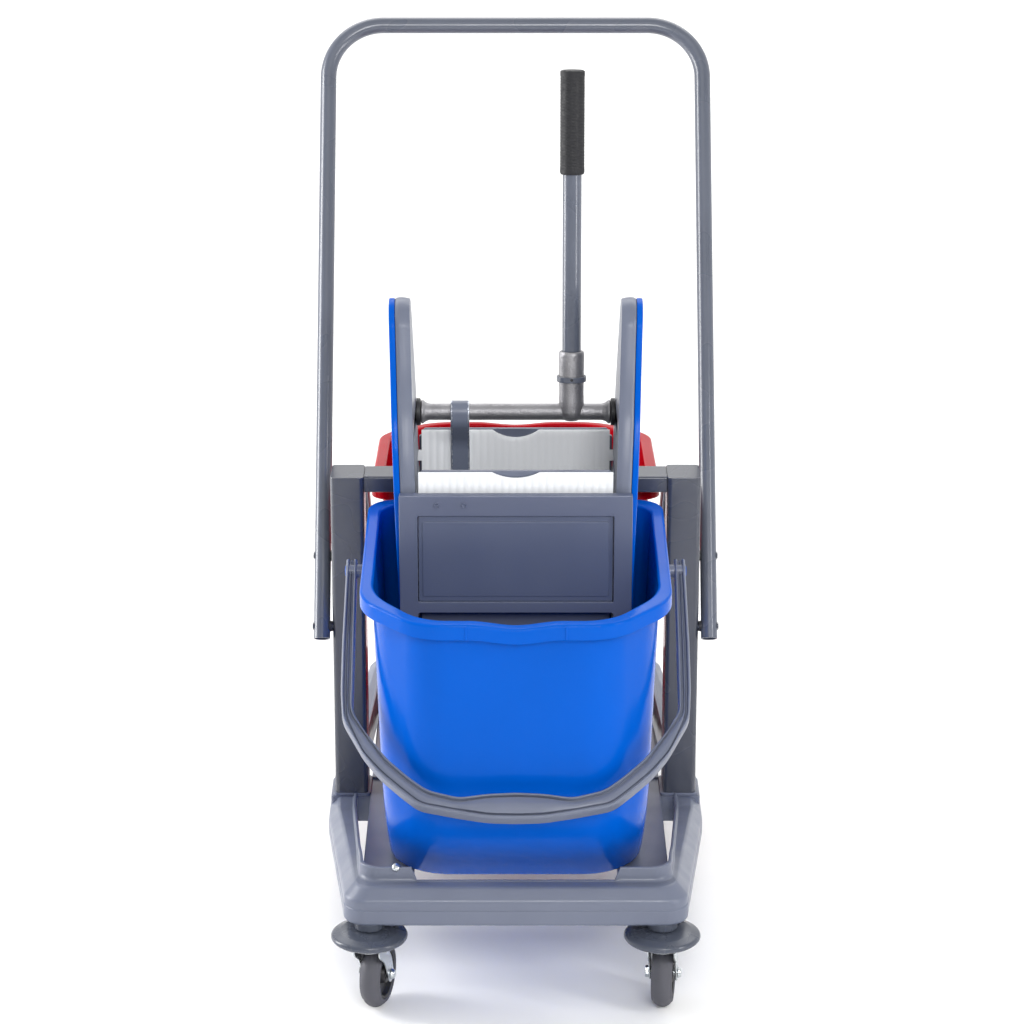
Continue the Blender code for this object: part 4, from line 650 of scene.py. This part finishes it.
def bucket_trim():
    """The bail pegs with their round backing bosses, and the two short ribs that end the spout."""
    shells = []
    for side in (-1, 1):
        root, tip = RIM_HALF_WIDTH - RIM_FLANGE - 0.004, 0.1972
        peg = [(NEAR_AXIS, root), (0.0105, root), (0.0105, RIM_HALF_WIDTH - 0.0005), (0.0095, RIM_HALF_WIDTH + 0.0012),
               (PEG_RADIUS, RIM_HALF_WIDTH + 0.0014), (PEG_RADIUS, tip), (NEAR_AXIS, tip)]
        shells.append(turned(peg, (0, -BAIL_Y, BAIL_Z), (side, 0, 0), 36, 0.0008))
        x = side * (SPOUT_HALF + 0.003)
        shells.append(block((x - 0.0011, x + 0.0011), (-RIM_FRONT - 0.0008, -RIM_FRONT + 0.003),
                            (RIM_Z_FRONT - RIM_SKIRT + 0.001, RIM_Z_FRONT - 0.002), 0.0003, 0.0006))
    return shells


# The same polypropylene, dyed through and moulded in a finer tool: deep colour, a soft broad sheen.
blue_polypropylene = moulded("moulded_blue_polypropylene", "004eae", "0054bc", 0.18, 1.3, 0.10, 0.08)
red_polypropylene = moulded("moulded_red_polypropylene", "9c0412", "a80617", 0.20, 1.3, 0.10, 0.05)
halves = {"blue": (blue_polypropylene, np.array((1, 1, 1))), "red": (red_polypropylene, np.array((-1, -1, 1)))}
for colour, (look, turn) in halves.items():
    shells = [(points * turn, faces) for points, faces in [bucket_shell(), *bucket_trim()]]
    piece(colour + "_bucket_shell", shells, colour + "_bucket", look, colour + "_plastic",
          colour + "_bucket", crease=38)


# ---------------------------------------------------------------- bails
# The carrying handles are grey mouldings of H section, so that both faces show a groove between
# two round rims; the grip is solid, with a lens-shaped hollow in each face.

BAIL_HALF_WIDTH, BAIL_PLATE, BAIL_THICK = 0.191, 0.014, 0.012
BAIL_REACH, BAIL_GRIP_HALF, BAIL_ANGLE = 0.2991, 0.090, radians(-41)
RIM_LINE, WEB_SINK = 0.0030, 0.0036
h = BAIL_HALF_WIDTH + BAIL_PLATE / 2
reach = BAIL_REACH
grip = BAIL_GRIP_HALF
outer_line = np.array([
    (h - 0.0023, -0.011), (h, reach * 0.33), (h, reach * 0.535), (h - 0.0025, reach * 0.654),
    (h - 0.0274, reach * 0.807), (h - 0.046, reach * 0.888), (h - 0.0694, reach * 0.960),
    (grip + 0.018, reach * 1.017), (grip * 0.74, reach * 1.0455), (grip * 0.34, reach * 1.0655), (0.0, reach * 1.0685)])
inner_line = np.array([
    (h - 0.0147, -0.011), (h - 0.0145, reach * 0.33), (h - 0.0145, reach * 0.535), (h - 0.0142, reach * 0.619),
    (h - 0.0266, reach * 0.696), (h - 0.0532, reach * 0.8165), (h - 0.0794, reach * 0.898),
    (grip + 0.008, reach * 0.950), (grip * 0.70, reach * 0.9805), (grip * 0.35, reach * 0.9645), (0.0, reach * 0.9595)])


def whole_bail(line):
    """Half an edge with its bends rounded, 20 steps to each straight, mirrored about the grip."""
    full = np.concatenate([line, line[-2::-1] * (-1, 1)])
    soft = rounded(full, 0.009, 5, closed=False)
    knots = np.concatenate([[0], np.cumsum(np.linalg.norm(np.diff(soft, axis=0), axis=1))])
    corners = np.concatenate([[0], np.cumsum(np.linalg.norm(np.diff(full, axis=0), axis=1))])
    corners = corners * knots[-1] / corners[-1]
    last = len(corners) - 1
    spaced = np.interp(np.linspace(0, last, 20 * last + 1), np.arange(last + 1), corners)
    return np.column_stack([np.interp(spaced, knots, soft[:, k]) for k in (0, 1)])


outer_edge, inner_edge = whole_bail(outer_line), whole_bail(inner_line)
width = np.linalg.norm(outer_edge - inner_edge, axis=1)
x = np.abs(outer_edge[:, 0])
filled = np.clip(1 - (x / 0.066) ** 4, 0, 1) * 0.72
sink = WEB_SINK * (1 - filled)
rim = RIM_LINE / width
wall = rim + 0.0010 / width
zero, one = np.zeros_like(x), np.ones_like(x)
BAIL_FACE = BAIL_THICK * 0.75
groove = wall + 0.0016 / width
crown = 0.0012 + 0.0012 * filled
half_share = [zero, rim * 0.5, rim, wall, groove, groove + 0.0008 / width]
share = np.stack([*half_share, 0.5 * one, *(1 - s for s in reversed(half_share))], 1)
half_sink = [0.0022 * one, zero, 0.0003 * one, 0.0046 * one, 0.0046 * one, sink * 0.7]
face = BAIL_FACE - np.stack([*half_sink, sink * 0.7 - crown, *reversed(half_sink)], 1)
share = np.concatenate([share, share[:, ::-1]], 1)
face = np.concatenate([face, -face[:, ::-1]], 1)
plane = inner_edge[:, None] * (1 - share[..., None]) + outer_edge[:, None] * share[..., None]
grid = np.concatenate([plane, face[..., None]], -1)
half_bends = [0.0014, 0.0014, 0.0005, 0.0003, 0.0003, 0.0005]
grid = rounded(grid, [*half_bends, 0.004, *reversed(half_bends)] * 2, 3)
forward = np.array((0, -cos(BAIL_ANGLE), sin(BAIL_ANGLE)))
upward = np.cross((1, 0, 0), forward)
hinge = (0, -BAIL_Y, BAIL_Z)
world = grid[..., :1] * (1.0, 0, 0) + grid[..., 1:2] * forward + grid[..., 2:] * upward + hinge
bail_shells = [capped(world)]
for side in (-1, 1):
    near, far = RIM_HALF_WIDTH + 0.0025, h - 0.0016
    eye = [(PEG_RADIUS + 0.0005, near), (0.0076, near), (0.0078, far), (PEG_RADIUS + 0.0005, far)]
    bail_shells.append(turned(eye, hinge, (side, 0, 0), 40, 0.0008))
for colour, (look, turn) in halves.items():
    shells = [(points * turn, faces) for points, faces in bail_shells]
    piece(colour + "_bail_moulding", shells, colour + "_bail", grey_polypropylene, "grey_plastic",
          colour + "_bail", crease=40)


# ---------------------------------------------------------------- wringer sides
# Each side of the wringer is a grey moulded tray, open outwards, whose flange is the wide band seen
# from the front; a leaning blue cover closes it. The shaft and the jaw's guide tab pass its floor.

SIDE_INNER, SIDE_SHEET, SIDE_RIM = 0.114, 0.002, 0.0025
SIDE_OUTER_LOW, SIDE_LOW_Z, SIDE_FLARE, COVER_THICK = 0.1268, 0.460, 0.0365, 0.0072
FRAME_FRONT, FRAME_DEPTH, FRAME_HALF_WIDTH = 0.2190, 0.011, 0.1325
FRAME_TOP, FRAME_FOOT = 0.577, 0.300
SHAFT_Y, SHAFT_Z = -0.070, 0.632
TRAVEL = 0.0754
JOURNAL_RADIUS = 0.008
TAB_LOW, TAB_HIGH, REAR_JAW_Y, JAW_SHEET = 0.5680, 0.5820, -0.060, 0.005
side_front = -FRAME_FRONT + FRAME_DEPTH + 0.0003
side_line = np.concatenate([
    [(side_front, FRAME_FOOT), (-0.058, FRAME_FOOT), (-0.047, 0.490), (-0.041, 0.525), (-0.041, 0.640),
     (-0.052, 0.700)],
    arc((-0.097, 0.738), 0.038, 20, 160, 29),
    [(-0.158, 0.700), (-0.186, 0.655), (-0.200, 0.612), (side_front, 0.570)],
])
side_line = rounded(side_line, 0.016, 5)


def tray_outer(z):
    """How far out the flange reaches at height z: the outer faces lean out as they rise."""
    return SIDE_OUTER_LOW + (z - SIDE_LOW_Z) * SIDE_FLARE


def tray_inner(z):
    """The tray's floor is upright up to the front frame's top and leans out above it."""
    return SIDE_INNER + np.maximum(z - FRAME_TOP, 0) * 0.038


def drawn_in(line, distance):
    """A counter-clockwise outline moved inwards along its normals by a distance."""
    along = unit(np.roll(line, -1, 0) - np.roll(line, 1, 0))
    return line + np.column_stack([-along[:, 1], along[:, 0]]) * distance


def leaning(side, gap):
    """Places a cover drawn in (Y, Z): its inner face lies gap outside the flange, at every height."""
    return lambda a, b, c: (side * (tray_outer(b) + gap + c), a, b)


shaft_way = np.concatenate([arc((SHAFT_Y, SHAFT_Z), JOURNAL_RADIUS + 0.0025, -90, 90, 13),
                            arc((SHAFT_Y - TRAVEL, SHAFT_Z), JOURNAL_RADIUS + 0.0025, 90, 270, 13)])
tab_way = rectangle(-0.1374, -0.054, TAB_LOW, TAB_HIGH, 0.002, 3)
inside_line, low_line = drawn_in(side_line, SIDE_RIM), drawn_in(side_line, 0.0016)
cover_line = drawn_in(side_line, 0.001)
for side, word in SIDES:
    def on_floor(a, b, c):
        return side * (tray_inner(b) + c), a, b

    shells = [sheet_of(drawn_in(side_line, SIDE_RIM * 0.6), SIDE_SHEET, 0.0004, on_floor, [shaft_way, tab_way])]
    near, far = tray_inner(side_line[:, 1]) * side, tray_outer(side_line[:, 1]) * side
    flange = np.stack([np.column_stack(pair) for pair in (
        (near, low_line), (near * 0.6 + far * 0.4, side_line), (near * 0.2 + far * 0.8, side_line),
        (far, low_line), (far, inside_line), (near, inside_line))], 1)
    shells.append(skin(rounded(flange, [0.0030, 0.0030, 0.0020, 0.0006, 0.0004, 0.0004], 4)))
    piece("wringer_tray_" + word, shells, "wringer", grey_polypropylene, "grey_plastic", "wringer_side_" + word)
    piece("wringer_blue_cover_" + word, [sheet_of(cover_line, COVER_THICK, 0.0016, leaning(side, 0.0003))],
          "wringer", blue_polypropylene, "blue_plastic", "wringer_cover_" + word)


# ---------------------------------------------------------------- wringer front
# A grey moulded frame screwed across the sides, with a blank panel set back in its window.

def upright(y):
    """Places a flat outline drawn in (X, Z) with its thickness towards -Y, from y."""
    return lambda a, b, c: (a, y - c, b)


WINDOW_HALF, WINDOW_TOP, WINDOW_LOW, LOWER_BAR = 0.1115, 0.552, 0.449, 0.013
foot, bar_low = FRAME_FOOT, WINDOW_LOW - LOWER_BAR
frame_line = rounded([(-FRAME_HALF_WIDTH, foot), (-WINDOW_HALF, foot), (-WINDOW_HALF, bar_low), (WINDOW_HALF, bar_low),
                      (WINDOW_HALF, foot), (FRAME_HALF_WIDTH, foot), (FRAME_HALF_WIDTH, FRAME_TOP),
                      (-FRAME_HALF_WIDTH, FRAME_TOP)], [0.002, 0.002, 0.003, 0.003, 0.002, 0.002, 0.002, 0.002], 4)
window = rectangle(-WINDOW_HALF, WINDOW_HALF, WINDOW_LOW, WINDOW_TOP, 0.001, 3)
frame_rear = -FRAME_FRONT + FRAME_DEPTH
# The frame is a harder blend than the trays: a colder, darker slate grey, a little glossier.
frame_plastic = moulded("moulded_slate_grey_plastic", "4f566c", "575e74", 0.38, 1.6, 0.2)
shells = [sheet_of(frame_line, FRAME_DEPTH, 0.0012, upright(frame_rear), [window])]
piece("wringer_front_moulding", shells, "wringer", frame_plastic, "grey_plastic", "wringer_front_frame")
screws = []
for x in (-0.0895, -0.0588):
    dimple = [(NEAR_AXIS, -0.001), (0.0034, -0.001), (0.0034, 0.0006), (0.0029, 0.0014), (0.0022, 0.0014),
              (0.0013, 0.0003), (NEAR_AXIS, 0.0003)]
    screws.append(turned(dimple, (x, -FRAME_FRONT + 0.0001, 0.5655), (0, -1, 0), 24, 0.0002))
piece("wringer_front_screws", screws, "wringer", frame_plastic, "grey_plastic")
panel_half = WINDOW_HALF - 0.0010
panel_front = -FRAME_FRONT + 0.004
panel_line = rectangle(-panel_half, panel_half, WINDOW_LOW + 0.0003, WINDOW_TOP - 0.0010, 0.001, 3)
shells = [sheet_of(panel_line, 0.003, 0.0003, upright(panel_front + 0.003))]
step_half = panel_half - 0.0045
step_line = rectangle(-step_half, step_half, WINDOW_LOW + 0.006, WINDOW_TOP - 0.007, 0.002, 4)
shells.append(sheet_of(step_line, 0.0016, 0.0006, upright(panel_front + 0.0006)))
panel_look = moulded("moulded_slate_blank_panel", "4c546b", "545c73", 0.36, 1.4, 0.12)
piece("wringer_blank_panel", shells, "wringer", panel_look, "grey_plastic", "wringer_front_panel")


# ---------------------------------------------------------------- jaws
# White moulded pressing plates with shallow upright flutes, a round finger recess in the top edge,
# and a grey stiffening plate behind each. The rear one slides forward against the front one.

# Undyed moulding resin: a cool off-white that is nearly matt, so that the flutes read as soft lines.
white_plastic = moulded("moulded_white_plastic", "e2e4e7", "eceef0", 0.40, 1.2, 0.15)
JAW_HALF, NOTCH_HALF, NOTCH_DEPTH = 0.1105, 0.027, 0.010
FLUTES = 26


def jaw_shell(foot, face, lean, up, top_at, notch_deep):
    """A fluted plate on a grid of across and up: the face falls back by a raised cosine between
    flutes, the top edge dips by the recess, and the back is flat."""
    x = np.linspace(-JAW_HALF, JAW_HALF, FLUTES * 8 + 1)
    notch_radius = (NOTCH_HALF ** 2 + notch_deep ** 2) / (2 * notch_deep)
    arc_dip = np.sqrt(np.maximum(notch_radius ** 2 - x ** 2, 0)) - (notch_radius - notch_deep)
    tall = top_at - np.where(np.abs(x) < NOTCH_HALF, arc_dip, 0)
    flute = 0.5 - 0.5 * np.cos(2 * pi * FLUTES * (x + JAW_HALF) / (2 * JAW_HALF))
    fall = 0.0006 * (1 - flute) ** 2 * (np.abs(x) < JAW_HALF - 0.002)
    z = tall[:, None] * np.array([0, 0.004, 0.01, 0.3, 0.6, 0.9, 0.975, 0.994, 1.0])
    depth = np.array([0.0009, 0, 0, 0, 0, 0, 0, 0.0006, 0.0018]) + fall[:, None] * [0, 1, 1, 1, 1, 1, 1, 1, 0.4]
    back = np.full_like(z, JAW_SHEET) - np.array([0.0014, 0, 0, 0, 0, 0, 0, 0, 0.0009])
    plane_z = np.concatenate([z, z[:, ::-1]], 1)
    plane_d = np.concatenate([depth, back], 1)
    return capped(np.stack(np.broadcast_arrays(x[:, None], foot + lean * plane_z + face * plane_d,
                                               up + plane_z * np.sqrt(1 - lean ** 2)), -1))


front_foot_y, front_y, jaw_foot, front_top = -0.175, -0.197, 0.330, 0.600
tall = np.hypot(front_top - jaw_foot, front_foot_y - front_y)
slope = (front_y - front_foot_y) / tall
AHEAD, SKIRT = 0.0043, 0.122
level = np.sqrt(1 - slope ** 2)
front_plate = jaw_shell(front_foot_y + slope * SKIRT - AHEAD - JAW_SHEET, 1, slope, jaw_foot + level * SKIRT,
                        tall - SKIRT, NOTCH_DEPTH * 0.68)
piece("front_jaw_plate", [front_plate], "wringer", white_plastic, "white_plastic", "front_jaw")
rear_top = 0.606
shells = [jaw_shell(REAR_JAW_Y, 1, 0.0, jaw_foot, rear_top - jaw_foot, NOTCH_DEPTH * 0.9)]
for side in (-1, 1):
    shells.append(block(sorted((side * (JAW_HALF - 0.004), side * 0.1167)), (REAR_JAW_Y + 0.0003, REAR_JAW_Y + 0.0047),
                        (0.5685, 0.5815), 0.0008, 0.001))
piece("rear_jaw_plate", shells, "press_carriage", white_plastic, "white_plastic", "rear_jaw")


def backing(place, tall):
    """The plain stiffening plate behind a jaw of a given height."""
    half = JAW_HALF - 0.002
    return sheet_of(rectangle(-half, half, 0.004, tall + 0.0012, 0.003, 4), 0.004, 0.0008, place)


def on_front_jaw(a, b, c):
    return a, front_foot_y + slope * b - level * c, jaw_foot + level * b + slope * c


def on_rear_jaw(a, b, c):
    return a, REAR_JAW_Y + JAW_SHEET + 0.0003 + c, jaw_foot + b


piece("front_jaw_backing", [backing(on_front_jaw, tall)], "wringer", grey_polypropylene, "grey_plastic",
      "front_jaw_back")
piece("rear_jaw_backing", [backing(on_rear_jaw, rear_top - jaw_foot)], "press_carriage", grey_polypropylene,
      "grey_plastic", "rear_jaw_back")


# ---------------------------------------------------------------- rear beam and drain floor
# The beam ties the sides behind the press and rests on the cross bar with two lugs; the slotted
# floor lets the water down into the bucket. Both are grey mouldings.

beam_half = SIDE_INNER - 0.0003
beam_y = (-0.0499, -0.0434)
beam_outline = rectangle(-beam_half, beam_half, POST_TOP + 0.008, POST_TOP + 0.060, 0.003, 4)
shells = [sheet_of(beam_outline, beam_y[1] - beam_y[0], 0.0012, upright(beam_y[1]))]
for side in (-1, 1):
    shells.append(block((side * 0.070 - 0.015, side * 0.070 + 0.015), (beam_y[0] + 0.001, 0.01125),
                        (POST_TOP + 0.0003, POST_TOP + 0.012)))
for x in np.linspace(-0.09, 0.09, 7):
    shells.append(block((x - 0.0012, x + 0.0012), (beam_y[1] - 0.002, beam_y[1] + 0.004),
                        (POST_TOP + 0.014, POST_TOP + 0.056), 0.0004, 0.0006))
piece("wringer_beam", shells, "wringer", grey_polypropylene, "grey_plastic", "wringer_rear_beam")
floor_y = (-0.202, -0.062)
floor_line = rectangle(-beam_half, beam_half, *floor_y, 0.002, 3)
drains = [np.concatenate([arc((x, floor_y[1] - 0.02), 0.005, 0, 180, 9),
                          arc((x, floor_y[0] + 0.02), 0.005, 180, 360, 9)])
          for x in np.arange(-3, 4) * SIDE_INNER / 4]
shells = [sheet_of(floor_line, 0.004, 0.0006, lambda a, b, c: (a, b, FRAME_FOOT + 0.001 + c), drains)]
piece("wringer_drain_floor", shells, "wringer", grey_polypropylene, "grey_plastic", "wringer_floor")


# ---------------------------------------------------------------- press shaft and lever
# A cast shaft with flared collars and a socket for the lever, running in black bushes; toothed
# sectors on its ends roll along steel racks. The lever is a painted tube with a ribbed rubber grip.

# Sand-cast zinc alloy, left as it came from the mould: dull and grainy, with lighter handled patches.
cast_metal, tree, shader = new_material("sand_cast_alloy", Metallic=0.75)
points = object_points(tree)
sand = node(tree, "ShaderNodeTexNoise", Vector=points, Scale=420.0, Detail=4.0, Roughness=0.6)
patch = node(tree, "ShaderNodeTexNoise", Vector=points, Scale=55.0, Detail=3.0)
tone = node(tree, "ShaderNodeMix", {"data_type": "RGBA"}, Factor=patch.outputs["Fac"],
            i6=linear("7e7d80"), i7=linear("a5a4a7"))
dull = node(tree, "ShaderNodeMapRange", Value=sand.outputs["Fac"], i1=0.3, i2=0.7, i3=0.32, i4=0.52)
relief = node(tree, "ShaderNodeBump", Height=sand.outputs["Fac"], Strength=0.8, Distance=0.0008)
feed(tree, shader, Base_Color=tone.outputs[2], Roughness=dull.outputs["Result"], Normal=relief.outputs["Normal"])

SHAFT_RADIUS, BUSH_RADIUS, BUSH_SHEET = 0.00975, 0.016, 0.005
GEAR_INNER, GEAR_WIDTH = 0.1185, 0.007
LEVER_X, LEVER_LEAN, LEVER_LENGTH, LEVER_RADIUS = 0.065, radians(6), 0.397, 0.011
SOCKET_RADIUS, SOCKET_TOP, SOCKET_FLOOR = 0.015, 0.072, 0.030
shaft_origin = (0, SHAFT_Y, SHAFT_Z)
lever_origin = (LEVER_X, SHAFT_Y, SHAFT_Z)
lever_axis = (0, sin(LEVER_LEAN), cos(LEVER_LEAN))
half = SIDE_INNER - BUSH_SHEET + 0.0014
end = GEAR_INNER + GEAR_WIDTH + 0.002
flare = [(NEAR_AXIS, end), (JOURNAL_RADIUS - 0.001, end), (JOURNAL_RADIUS, end - 0.001), (JOURNAL_RADIUS, half),
         (0.0138, half), (0.0140, half - 0.002), (0.0112, half - 0.0055), (SHAFT_RADIUS, half - 0.010)]
shells = [turned(flare + [(r, -x) for r, x in reversed(flare)], shaft_origin, (1, 0, 0), 40, 0.0012)]
socket = [(NEAR_AXIS, -0.0106), (0.0080, -0.0102), (0.0128, -0.0064), (0.0146, 0.000), (0.0147, 0.012),
          (SOCKET_RADIUS - 0.0006, 0.024), (SOCKET_RADIUS, SOCKET_TOP - 0.003), (SOCKET_RADIUS - 0.0012, SOCKET_TOP),
          (LEVER_RADIUS + 0.0006, SOCKET_TOP), (LEVER_RADIUS + 0.0003, SOCKET_TOP - 0.001),
          (LEVER_RADIUS + 0.0003, SOCKET_FLOOR), (NEAR_AXIS, SOCKET_FLOOR)]
shells.append(turned(socket, lever_origin, lever_axis, 44, 0.0016))
piece("cast_press_shaft", shells, "press_lever", cast_metal, "cast_metal", "press_shaft")
band_bore = SOCKET_RADIUS + 0.0003
ring = [(band_bore, 0.0362), (0.0172, 0.0362), (0.0175, 0.0372), (0.0175, 0.0418), (0.0172, 0.0428),
        (band_bore, 0.0428)]
piece("socket_band", [turned(ring, lever_origin, lever_axis, 44, 0.0008)], "press_lever", enamel, "painted_steel",
      "socket_ring")
pin = [(NEAR_AXIS, 0.0145), (0.0018, 0.0145), (0.0018, 0.0176), (0.0012, 0.0180), (NEAR_AXIS, 0.0180)]
pin_place = np.array(lever_origin) + np.array(lever_axis) * 0.0402
piece("socket_pin", [turned(pin, pin_place, (0, -cos(LEVER_LEAN), sin(LEVER_LEAN)), 20, 0.0003)], "press_lever",
      black_plastic, "dark_plastic")
tube = rectangle(LEVER_RADIUS - 0.0015, LEVER_RADIUS, SOCKET_FLOOR + 0.0003, LEVER_LENGTH - 0.004, 0.0002, 3)
piece("lever_tube_painted", [turned(tube, lever_origin, lever_axis, 40)], "press_lever", enamel, "painted_steel",
      "lever_tube")

GRIP_RADIUS, GRIP_LENGTH = 0.01465, 0.119
# Dipped rubber: black and matt, duller still where hands have rubbed it.
grip_rubber, *_ = mottled("black_grip_rubber", 220.0, 3.0, ("141416", "26262a"), (0.46, 0.7), (0.35, 0.65),
                          IOR=1.52, Specular_IOR_Level=0.3)

along = np.linspace(0, 1, 260)
turn = np.linspace(0, 2 * pi, 96, endpoint=False)
RIBS, STUDS = 34, 12
t, a = np.meshgrid(along, turn)
ribbed = np.clip((t - 0.05) / 0.01, 0, 1) * np.clip((0.955 - t) / 0.01, 0, 1)
lattice = np.clip(np.sin(2 * pi * RIBS * t) * 1.4, -1, 1) * (0.6 + 0.4 * np.sin(STUDS * a))
radius = GRIP_RADIUS - 0.0004 - 0.0005 * ribbed * (1 - lattice) / 2
radius = radius - 0.0022 * np.clip((t - 0.985) / 0.015, 0, 1) ** 2 - 0.0009 * np.clip((0.02 - t) / 0.02, 0, 1)
height = LEVER_LENGTH - GRIP_LENGTH + GRIP_LENGTH * t
bore_end, bore = LEVER_LENGTH - 0.0038, LEVER_RADIUS + 0.0003
last_radii = np.broadcast_to([NEAR_AXIS, NEAR_AXIS, bore, bore], (96, 4))
last_heights = np.broadcast_to([LEVER_LENGTH, bore_end, bore_end, LEVER_LENGTH - GRIP_LENGTH], (96, 4))
radius, height = np.hstack([radius, last_radii]), np.hstack([height, last_heights])
grip = np.stack(np.broadcast_arrays(radius * np.cos(turn)[:, None], radius * np.sin(turn)[:, None], height), -1)
piece("ribbed_grip", [skin(stand(grip, lever_origin, lever_axis))], "press_lever", grip_rubber, "black_rubber",
      "lever_grip", crease=50)

start, stop = SIDE_INNER - BUSH_SHEET + 0.0018, GEAR_INNER - 0.0003
bush_bore, bush_neck = JOURNAL_RADIUS + 0.0003, JOURNAL_RADIUS + 0.002
bush = [(bush_bore, start), (BUSH_RADIUS - 0.001, start), (BUSH_RADIUS, start + 0.001),
        (BUSH_RADIUS, start + BUSH_SHEET), (bush_neck, start + BUSH_SHEET), (bush_neck, stop), (bush_bore, stop)]
for side, word in SIDES:
    piece("bush_" + word, [turned(bush, shaft_origin, (side, 0, 0), 40, 0.0004)], "press_carriage", black_plastic,
          "dark_plastic", "shaft_bush_" + word)
    for name, look in (("pinion_", cast_metal), ("rack_", zinc)):
        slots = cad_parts[name + word].data.materials
        slots.clear()
        slots.append(look)


# ---------------------------------------------------------------- jaw strap
# A flat steel strap hooked over the shaft and riveted to the face of the moving jaw. Along its edges the dark
# paint gives way to bright metal, partly chipped paint and partly a painted edge highlight.

# Thin enamel on mild steel: slate paint, and bright uncoated metal in a band along both edges, partly
# chipped paint and partly a painted edge highlight.
strap_paint, tree, shader = new_material("dark_paint_with_chips_and_painted_edge_highlight", IOR=1.5)
points = object_points(tree)
STRAP_X, STRAP_WIDTH, STRAP_SHEET, STRAP_FOOT = -0.065, 0.022, 0.003, 0.535
place = node(tree, "ShaderNodeSeparateXYZ", Vector=points)
off_middle = node(tree, "ShaderNodeMath", {"operation": "SUBTRACT"}, i0=place.outputs["X"], i1=STRAP_X)
to_edge = node(tree, "ShaderNodeMath", {"operation": "ABSOLUTE"}, i0=off_middle.outputs[0])
# The bright band along both edges is partly chipped paint and partly a painted edge highlight.
edge_chip_and_highlight = node(tree, "ShaderNodeMapRange", Value=to_edge.outputs[0], i1=STRAP_WIDTH / 2 - 0.0035,
                 i2=STRAP_WIDTH / 2, i3=0.0, i4=0.55)
flake = node(tree, "ShaderNodeTexNoise", Vector=points, Scale=380.0, Detail=4.0)
chip_and_highlight_sum = node(tree, "ShaderNodeMath", {"operation": "ADD"}, i0=edge_chip_and_highlight.outputs["Result"], i1=flake.outputs["Fac"])
chip_and_highlight_mask = node(tree, "ShaderNodeMapRange", Value=chip_and_highlight_sum.outputs[0], i1=0.80, i2=0.88, i3=0.0, i4=1.0)
tone = node(tree, "ShaderNodeMix", {"data_type": "RGBA"}, Factor=chip_and_highlight_mask.outputs["Result"],
            i6=linear("646b7c"), i7=linear("ccd0d8"))
gloss = node(tree, "ShaderNodeMapRange", Value=flake.outputs["Fac"], i1=0.3, i2=0.7, i3=0.3, i4=0.45)
relief = node(tree, "ShaderNodeBump", Height=chip_and_highlight_mask.outputs["Result"], Strength=-0.4, Distance=0.0003)
feed(tree, shader, Base_Color=tone.outputs[2], Metallic=chip_and_highlight_mask.outputs["Result"], Roughness=gloss.outputs["Result"],
     Normal=relief.outputs["Normal"])

clear = SHAFT_RADIUS + 0.0005 + STRAP_SHEET / 2
face_y = REAR_JAW_Y - 0.0003 - STRAP_SHEET / 2
hook = arc((SHAFT_Y, SHAFT_Z), clear, -15, 180, 25)
fall = rounded([(SHAFT_Y - clear, SHAFT_Z), (SHAFT_Y - clear, SHAFT_Z - 0.012), (face_y, SHAFT_Z - 0.040),
                (face_y, STRAP_FOOT)], 0.010, 6, closed=False)
strap_line = np.concatenate([hook, fall[1:]])
strap_path = np.column_stack([np.full(len(strap_line), STRAP_X), strap_line])
strap_section = rectangle(-STRAP_SHEET / 2, STRAP_SHEET / 2, -STRAP_WIDTH / 2, STRAP_WIDTH / 2, 0.0009, 3)
shells = [capped(carried(strap_path, (1.0, 0, 0), strap_section))]
RIVET_Z = 0.547
rivet = [(NEAR_AXIS, 0.0), (0.0042, 0.0), (0.0042, 0.0004), (0.0030, 0.0017), (NEAR_AXIS, 0.0022)]
shells.append(turned(rivet, (STRAP_X, face_y - STRAP_SHEET / 2, RIVET_Z), (0, -1, 0), 24, 0.0004))
piece("strap_over_shaft", shells, "press_carriage", strap_paint, "painted_steel", "jaw_strap")
